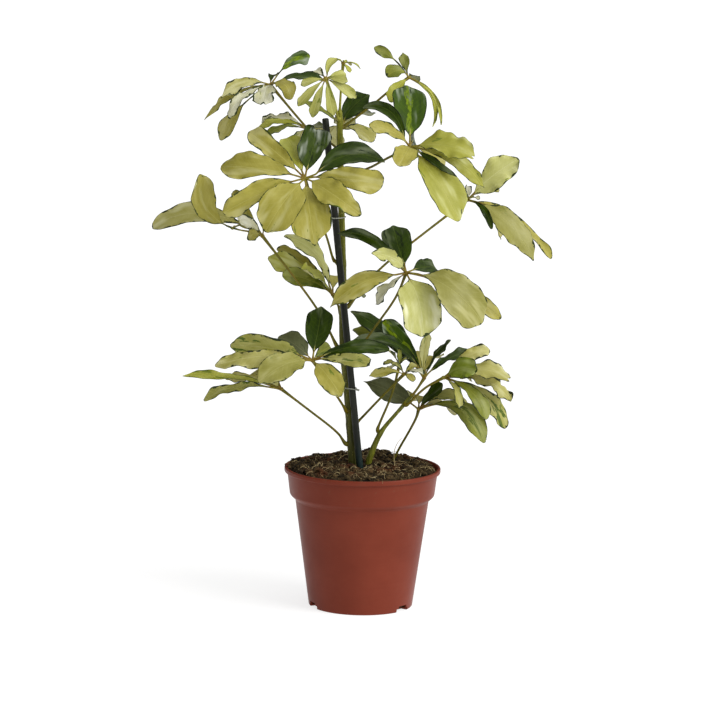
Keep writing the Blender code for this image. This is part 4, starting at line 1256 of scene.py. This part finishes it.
def build_stake(finishes):
    """The cane, with low rings a few centimetres apart and a domed cap."""
    length = (STAKE_TOP - STAKE_FOOT).length
    body_radius = STAKE_RADIUS - STAKE_RING_HEIGHT
    line, radii = [], []
    for step in range(STAKE_STEPS + 1):
        share = step / STAKE_STEPS
        past_ring = (share * length) % STAKE_RING_SPACING - STAKE_RING_SPACING / 2
        bulge = exp(-((past_ring / STAKE_RING_WIDTH) ** 2))
        line.append(STAKE_FOOT.lerp(STAKE_TOP, share))
        radii.append(body_radius + STAKE_RING_HEIGHT * bulge)
    for step in range(1, CAP_STEPS):
        angle = step / CAP_STEPS * pi / 2
        back = (1 - sin(angle)) * CAP_HEIGHT
        line[step - CAP_STEPS] = STAKE_TOP - (STAKE_TOP - STAKE_FOOT).normalized() * back
        radii[step - CAP_STEPS] = body_radius * (CAP_FLAT + (1 - CAP_FLAT) * cos(angle))
    shape = Shape()
    shape.tube(line, radii, STEM_SIDES, "stake", CROSSWISE)
    shape.build("stake", finishes, "stake_coating")


def build_tie(name, height, stem, finishes):
    """A wire bent once round the stem and the stake, its ends twisted together."""
    stake_share = (height - STAKE_FOOT.z) / (STAKE_TOP.z - STAKE_FOOT.z)
    stake_spot = STAKE_FOOT.lerp(STAKE_TOP, stake_share)
    stem_spot, stem_radius, _ = stem.at(height)
    long_way = (stake_spot - stem_spot).normalized()
    short_way = UPRIGHT.cross(long_way)
    middle = (stake_spot + stem_spot) / 2
    radius = max(stem_radius, STAKE_RADIUS)
    half_length = (stake_spot - stem_spot).length / 2 + radius + TIE_CLEARANCE
    half_width = radius + TIE_SIDE_CLEARANCE
    mouth = radians(TIE_MOUTH)
    loop, tails = [], ([], [])
    for number in range(TIE_LOOP_STEPS + 1):
        angle = mouth + (2 * pi - 2 * mouth) * number / TIE_LOOP_STEPS
        along = half_length * cos(angle) * long_way
        loop.append(middle + along + half_width * sin(angle) * short_way)
    for step in range(1, TIE_TAIL_STEPS + 1):
        out = TIE_TAIL * (TIE_TAIL_START + (1 - TIE_TAIL_START) * step / TIE_TAIL_STEPS)
        turn = 2 * pi * TIE_TURNS * step / TIE_TAIL_STEPS
        for side, tail in enumerate(tails):
            angle = turn + (pi if side else 0)
            around = cos(angle) * short_way + sin(angle) * UPRIGHT
            spot = middle + (half_length + out) * long_way
            tail.append(spot + TIE_TWIST_RADIUS * WIRE_RADIUS * around)
    line = smoothed([*tails[0][::-1], *loop, *tails[1]], 1)
    shape = Shape()
    shape.tube(line, [WIRE_RADIUS] * len(line), WIRE_SIDES, "wire")
    shape.build(name, finishes, "tie_wire", 60)


# ---------------------------------------------------------------- pot and soil


def inner_radius(outer_radius):
    return outer_radius - WALL


def filleted(profile):
    """The profile with every corner between its ends rounded off."""
    points = [Vector(point) for point in profile]
    line = [points[0]]
    for before, corner, after in zip(points, points[1:], points[2:]):
        back = min(FILLET, FILLET_REACH * (before - corner).length)
        on = min(FILLET, FILLET_REACH * (after - corner).length)
        start = corner + (before - corner).normalized() * back
        end = corner + (after - corner).normalized() * on
        for step in range(FILLET_STEPS + 1):
            share = step / FILLET_STEPS
            line.append(start.lerp(corner, share).lerp(corner.lerp(end, share), share))
    return [*line, points[-1]]


def pot_profile():
    """(radius, height) of the pot's wall, from its floor up the inside and down the outside."""
    inside = [
        (0, WALL),
        (inner_radius(FOOT_RADIUS), WALL),
        (inner_radius(BODY_TOP_RADIUS), COLLAR_FOOT - SHOULDER_HEIGHT),
        (inner_radius(COLLAR_FOOT_RADIUS), COLLAR_FOOT),
        (inner_radius(COLLAR_TOP_RADIUS), POT_HEIGHT - LIP_HEIGHT),
        (RIM_RADIUS - LIP_WIDTH, POT_HEIGHT - LIP_CHAMFER),
        (RIM_RADIUS - LIP_WIDTH + LIP_CHAMFER, POT_HEIGHT),
    ]
    outside = [
        (RIM_RADIUS, POT_HEIGHT),
        (RIM_RADIUS, POT_HEIGHT - LIP_HEIGHT),
        (COLLAR_TOP_RADIUS, POT_HEIGHT - LIP_HEIGHT),
        (COLLAR_FOOT_RADIUS, COLLAR_FOOT),
        (COLLAR_FOOT_RADIUS - COLLAR_STEP_WIDTH, COLLAR_FOOT - COLLAR_STEP_HEIGHT),
        (BODY_TOP_RADIUS, COLLAR_FOOT - SHOULDER_HEIGHT),
        (FOOT_RADIUS, 0),
        (FOOT_RADIUS - FOOT_RING_WIDTH, 0),
        (FOOT_RADIUS - FLOOR_INSET, FLOOR_RECESS),
        (0, FLOOR_RECESS),
    ]
    return filleted([*inside, *outside])


def turned(profile, steps):
    """A closed solid of revolution from a profile that starts and ends on the axis."""
    rings = profile[1:-1]
    points = [point for radius, height in rings for point in circle(radius, height, steps)]
    points += [(0, 0, profile[0][1]), (0, 0, profile[-1][1])]
    faces = ring_faces(len(rings), steps)
    last = (len(rings) - 1) * steps
    for step in range(steps):
        there = (step + 1) % steps
        faces.append((there, step, len(points) - 2))
        faces.append((last + step, last + there, len(points) - 1))
    return points, faces


def carved(mesh, cutters):
    """The mesh with the cutter meshes taken off it."""
    body = placed("body", mesh)
    helpers = [body]
    for cutter in cutters:
        helpers.append(placed("cutter", cutter))
        modifier = body.modifiers.new("cut", "BOOLEAN")
        modifier.object = helpers[-1]
        modifier.solver = "EXACT"
    bpy.context.view_layer.update()
    evaluated = body.evaluated_get(bpy.context.evaluated_depsgraph_get())
    made = bpy.data.meshes.new_from_object(evaluated)
    for helper in helpers:
        bpy.data.objects.remove(helper, do_unlink=True)
    return made


def notch_mesh(angle):
    """The rounded block that cuts one drainage notch out of the pot's foot."""
    block = bmesh.new()
    bmesh.ops.create_cube(block, size=1)
    size = Vector((NOTCH_DEPTH * 2, NOTCH_WIDTH, NOTCH_HEIGHT * 2)) * MM
    bmesh.ops.scale(block, vec=size, verts=block.verts)
    inward = [edge for edge in block.edges if abs(edge.verts[0].co.x - edge.verts[1].co.x) > MM]
    bmesh.ops.bevel(
        block, geom=inward, offset=NOTCH_ROUNDING * MM, segments=NOTCH_SEGMENTS, affect="EDGES"
    )
    bmesh.ops.translate(block, vec=(FOOT_RADIUS * MM, 0, 0), verts=block.verts)
    bmesh.ops.rotate(block, verts=block.verts, matrix=Matrix.Rotation(radians(angle), 3, "Z"))
    mesh = bpy.data.meshes.new("notch")
    block.to_mesh(mesh)
    block.free()
    return mesh


def build_pot(finishes):
    """The turned pot with its drainage notches cut out."""
    whole = mesh_of("body", *turned([tuple(point) for point in pot_profile()], POT_STEPS))
    mesh = carved(whole, [notch_mesh(angle) for angle in NOTCH_ANGLES])
    mesh.materials.clear()
    mesh.materials.append(finishes["pot"])
    stand_for("pot", mesh, 32)


def soil_height(x, y):
    """The heaped surface with its lumps."""
    radius = sqrt(x * x + y * y)
    rings = [*SOIL_DOME, (inner_radius(COLLAR_TOP_RADIUS) - GAP, SOIL_EDGE_HEIGHT)]
    height = np.interp(radius, [row[0] for row in rings], [row[1] for row in rings])
    heap_x, heap_y, rise, spread = SOIL_HEAP
    kept = 1 - (radius / rings[-1][0]) ** HEAP_EDGE_POWER
    height += rise * exp(-((x - heap_x) ** 2 + (y - heap_y) ** 2) / spread**2) * kept
    spot = Vector((x, y, SOIL_SLICE))
    lumps = sum(size * noise.noise(spot * closeness) for size, closeness in SOIL_LUMPS)
    size, closeness = SOIL_RIDGES
    lumps += size * abs(noise.noise(spot * closeness))
    return float(height) + lumps - SOIL_SETTLING


def clear_of_stems(x, y, margin):
    """Whether a place on the soil is this far from everything that stands in it."""
    return all((x - a) ** 2 + (y - b) ** 2 > (radius + margin) ** 2 for a, b, _, radius in STANDING)


def strewn(reach, chance):
    """A place on the soil within this reach of its middle."""
    radius, angle = reach * sqrt(chance.random()), chance.uniform(0, 2 * pi)
    return radius * cos(angle), radius * sin(angle)


def soil_body(edge):
    """Points and faces of the soil without what lies on it."""
    points = [(0.0, 0.0, soil_height(0, 0))]
    for number in range(1, SOIL_RINGS + 1):
        radius = edge * (number / SOIL_RINGS) ** SOIL_CROWDING
        points += [(x, y, soil_height(x, y)) for x, y, _ in circle(radius, 0, SOIL_STEPS)]
    walls = [
        (inner_radius(COLLAR_FOOT_RADIUS) - GAP, COLLAR_FOOT),
        (inner_radius(BODY_TOP_RADIUS) - GAP, COLLAR_FOOT - SHOULDER_HEIGHT),
        (inner_radius(FOOT_RADIUS) - GAP - SOIL_FOOT_INSET, WALL + GAP),
    ]
    for radius, height in walls:
        points += circle(radius, height, SOIL_STEPS)
    rings = SOIL_RINGS + len(walls)
    innermost = ring(0, SOIL_STEPS, 1)
    faces = [(0, *pair) for pair in zip(innermost, innermost[1:] + innermost[:1])]
    faces += ring_faces(rings, SOIL_STEPS, 1, turned_over=True)
    faces.append(ring(rings - 1, SOIL_STEPS, 1)[::-1])
    return points, faces


def build_soil(finishes):
    """The body of soil, with crumbs, clods, spilt crumbs and fibres on it."""
    chance = random.Random(SOIL_SEED)
    edge = inner_radius(COLLAR_TOP_RADIUS) - GAP - SOIL_EDGE_INSET
    shape = Shape()
    shape.add(*soil_body(edge), "soil")
    for _ in range(CRUMBS):
        x, y = strewn(edge - CRUMB_INSET, chance)
        size = chance.choice(CRUMB_SIZES) * chance.uniform(*CRUMB_VARIETY)
        lay_crumb(shape, x, y, CRUMB_RISE, size, chance)
    for _ in range(CLODS):
        x, y = strewn(edge - CLOD_INSET, chance)
        lay_crumb(shape, x, y, CLOD_RISE, chance.uniform(*CLOD_SIZES), chance)
    for _ in range(SPILT):
        radius, angle = chance.uniform(*SPILL_BAND), radians(chance.uniform(*SPILL_ARC))
        size = chance.uniform(*(SPILT_SIZES if radius < SPILL_LIP else SPILT_ON_LIP_SIZES))
        height = POT_HEIGHT + SPILT_RISE * size
        add_crumb(shape, Vector((radius * cos(angle), radius * sin(angle), height)), size, chance)
    for _ in range(FIBRES):
        add_fibre(shape, *strewn(edge - FIBRE_INSET, chance), chance)
    add_stray_root(shape)
    shape.build("soil", finishes, "soil", 70)


def lay_crumb(shape, x, y, rise, size, chance):
    """A crumb on the soil, where nothing stands."""
    if clear_of_stems(x, y, size + CRUMB_CLEARANCE):
        add_crumb(shape, Vector((x, y, soil_height(x, y) + rise * size)), size, chance)


def add_crumb(shape, spot, size, chance):
    """A lumpy, flattened ball."""
    ball = bmesh.new()
    bmesh.ops.create_icosphere(ball, subdivisions=2 if size > FINE_CRUMB else 1, radius=1)
    shift = Vector([chance.random() for _ in range(3)]) * CRUMB_VARIATION
    flat = chance.uniform(*CRUMB_FLATNESS)
    far, close = CRUMB_BULGES
    points = []
    for vertex in ball.verts:
        bulge = 1 + far * noise.noise(vertex.co * close + shift)
        offset = vertex.co * size * bulge
        points.append(spot + Vector((offset.x, offset.y, offset.z * flat)))
    faces = [tuple(corner.index for corner in face.verts) for face in ball.faces]
    ball.free()
    shape.add(points, faces, chance.choice(CRUMB_FINISHES))


def add_fibre(shape, x, y, chance):
    """A short rootlet or strand of coir lying on the soil."""
    heading, length = chance.uniform(0, 2 * pi), chance.uniform(*FIBRE_LENGTHS)
    bend, lift = chance.uniform(*FIBRE_BENDS), chance.uniform(*FIBRE_LIFTS)
    line = []
    for step in range(FIBRE_STEPS + 1):
        rise = FIBRE_RISE + lift * sin(pi * step / FIBRE_STEPS)
        line.append(Vector((x, y, soil_height(x, y) + rise)))
        heading += bend / FIBRE_STEPS
        x += length / FIBRE_STEPS * cos(heading)
        y += length / FIBRE_STEPS * sin(heading)
    if all(clear_of_stems(point.x, point.y, FIBRE_CLEARANCE) for point in line):
        thick = chance.uniform(*FIBRE_RADII)
        shape.tube(line, [thick] * len(line), FIBRE_SIDES, "fibre")


def add_stray_root(shape):
    """The one long thin fibre that stands up out of the soil on the right."""
    line = smoothed([Vector(point) for point in STRAY_ROOT], SMOOTHING)
    thick, thinner = STRAY_ROOT_TAPER
    radii = [thick - thinner * number / len(line) for number in range(len(line))]
    shape.tube(line, radii, STRAY_ROOT_SIDES, "fibre")


# ---------------------------------------------------------------- camera, light and floor


def place_camera(scene):
    tilt = radians(CAMERA_ELEVATION)
    camera = placed("camera", bpy.data.cameras.new("camera"))
    camera.data.sensor_width = SENSOR
    camera.data.lens = LENS
    camera.data.clip_end = CAMERA_REACH
    camera.location = CAMERA_TARGET + CAMERA_DISTANCE * Vector((0, -cos(tilt), sin(tilt)))
    looking = (CAMERA_TARGET - camera.location).to_track_quat("-Z", "Y").to_matrix()
    turn = looking @ Matrix.Rotation(radians(CAMERA_ROLL), 3, "Z")
    camera.rotation_euler = turn.to_euler()
    scene.camera = camera


def light_studio(scene):
    """Two lamps, and walls that are bright on one side and plain white to the camera."""
    for name, towards, strength, angle in LIGHTS:
        light = placed(name, bpy.data.lights.new(name, "SUN"))
        light.data.energy = strength
        light.data.angle = radians(angle)
        light.rotation_euler = Vector(towards).to_track_quat("-Z", "Y").to_euler()
    scene.world = bpy.data.worlds.new("studio")
    scene.world.use_nodes = True
    walls = Nodes(scene.world.node_tree)
    direction = walls.node("TexCoord").outputs["Generated"]
    slant = walls.node("VectorMath", {0: direction, 1: BRIGHT_SIDE}, operation="DOT_PRODUCT")
    level = walls.band(slant.outputs["Value"], *BRIGHT_SPREAD, *WORLD_LEVELS)
    seen = walls.node("LightPath").outputs["Is Camera Ray"]
    sky = walls.tree.nodes["Background"]
    sky.inputs["Color"].default_value = WHITE
    walls.feed(sky.inputs["Strength"], walls.math("MAXIMUM", level, seen))


def lay_floor():
    turns = (-1, -1), (1, -1), (1, 1), (-1, 1)
    corners = [(x * FLOOR_REACH, y * FLOOR_REACH, 0) for x, y in turns]
    floor = placed("floor", mesh_of("floor", corners, [(0, 1, 2, 3)]))
    paint = Finish("floor_paint", 0.9, 0.1)
    paint.shader.inputs["Emission Color"].default_value = WHITE
    paint.shader.inputs["Emission Strength"].default_value = FLOOR_GLOW
    paper = paint.noise(paint.place(), 3, 2)
    floor.data.materials.append(paint.done(paint.ramp(paper, *zip((0.3, 0.7), FLOOR_GREYS))))


def main():
    scene = bpy.context.scene
    scene.view_settings.view_transform = "Standard"
    place_camera(scene)
    light_studio(scene)
    lay_floor()

    finishes = {name: leaf_finish(f"leaf_{name}", look) for name, look in LOOKS.items()}
    finishes |= {
        "midrib": bark_finish("midrib_skin", (168, 162, 92), (140, 134, 60), (178, 172, 110)),
        "petiolule": mottled_finish(
            "petiolule_skin", 0.5, 0.25, 140,
            ((0.3, (130, 124, 42)), (0.5, (122, 106, 36)), (0.7, (106, 82, 28))),
            0.00008, 0.5, grain=1500,
        ),
        "stalk": stalk_finish(
            "stalk_skin", (82, 80, 10), (104, 96, 16), (112, 88, 22), (66, 62, 8)
        ),
        "young_stalk": stalk_finish(
            "young_stalk_skin", (122, 124, 36), (140, 138, 50), (146, 130, 52), (96, 98, 24)
        ),
        "bark": bark_finish("stem_bark", (128, 128, 34), (82, 86, 14), (146, 142, 70), 0.4),
        "shoot": bark_finish("shoot_bark", (116, 118, 38), (80, 84, 20), (138, 136, 72)),
        "stake": stake_finish(),
        "wire": mottled_finish(
            "tie_wire_skin", 0.42, 0.5, 700,
            ((0.35, (120, 124, 112)), (0.7, (178, 180, 168))), 0.0001, 0.5,
        ),
        "pot": pot_finish(),
        "soil": soil_finish("soil_skin", (60, 48, 30), (22, 17, 11), 330),
        "crumb": soil_finish("crumb_skin", (90, 74, 48), (38, 31, 20), 420),
        "fibre": mottled_finish(
            "soil_fibre_skin", 0.8, 0.3, 260,
            ((0.3, (104, 84, 52)), (0.7, (186, 168, 124))), 0.0001, 0.6,
        ),
    }

    stems = {}
    for name, rows, look in (("main_stem", MAIN_STEM, "bark"), ("side_shoot", SIDE_SHOOT, "shoot")):
        stems[name] = Stem([Vector(row) for row in rows]).smoothed(1)
        build_stem(name, stems[name], look, finishes)
    build_stake(finishes)
    for name, height in TIE_HEIGHTS.items():
        build_tie(name, height, stems["main_stem"], finishes)
    for leaf in LEAVES:
        build_leaf(leaf, stems, finishes)
    build_pot(finishes)
    build_soil(finishes)


main()
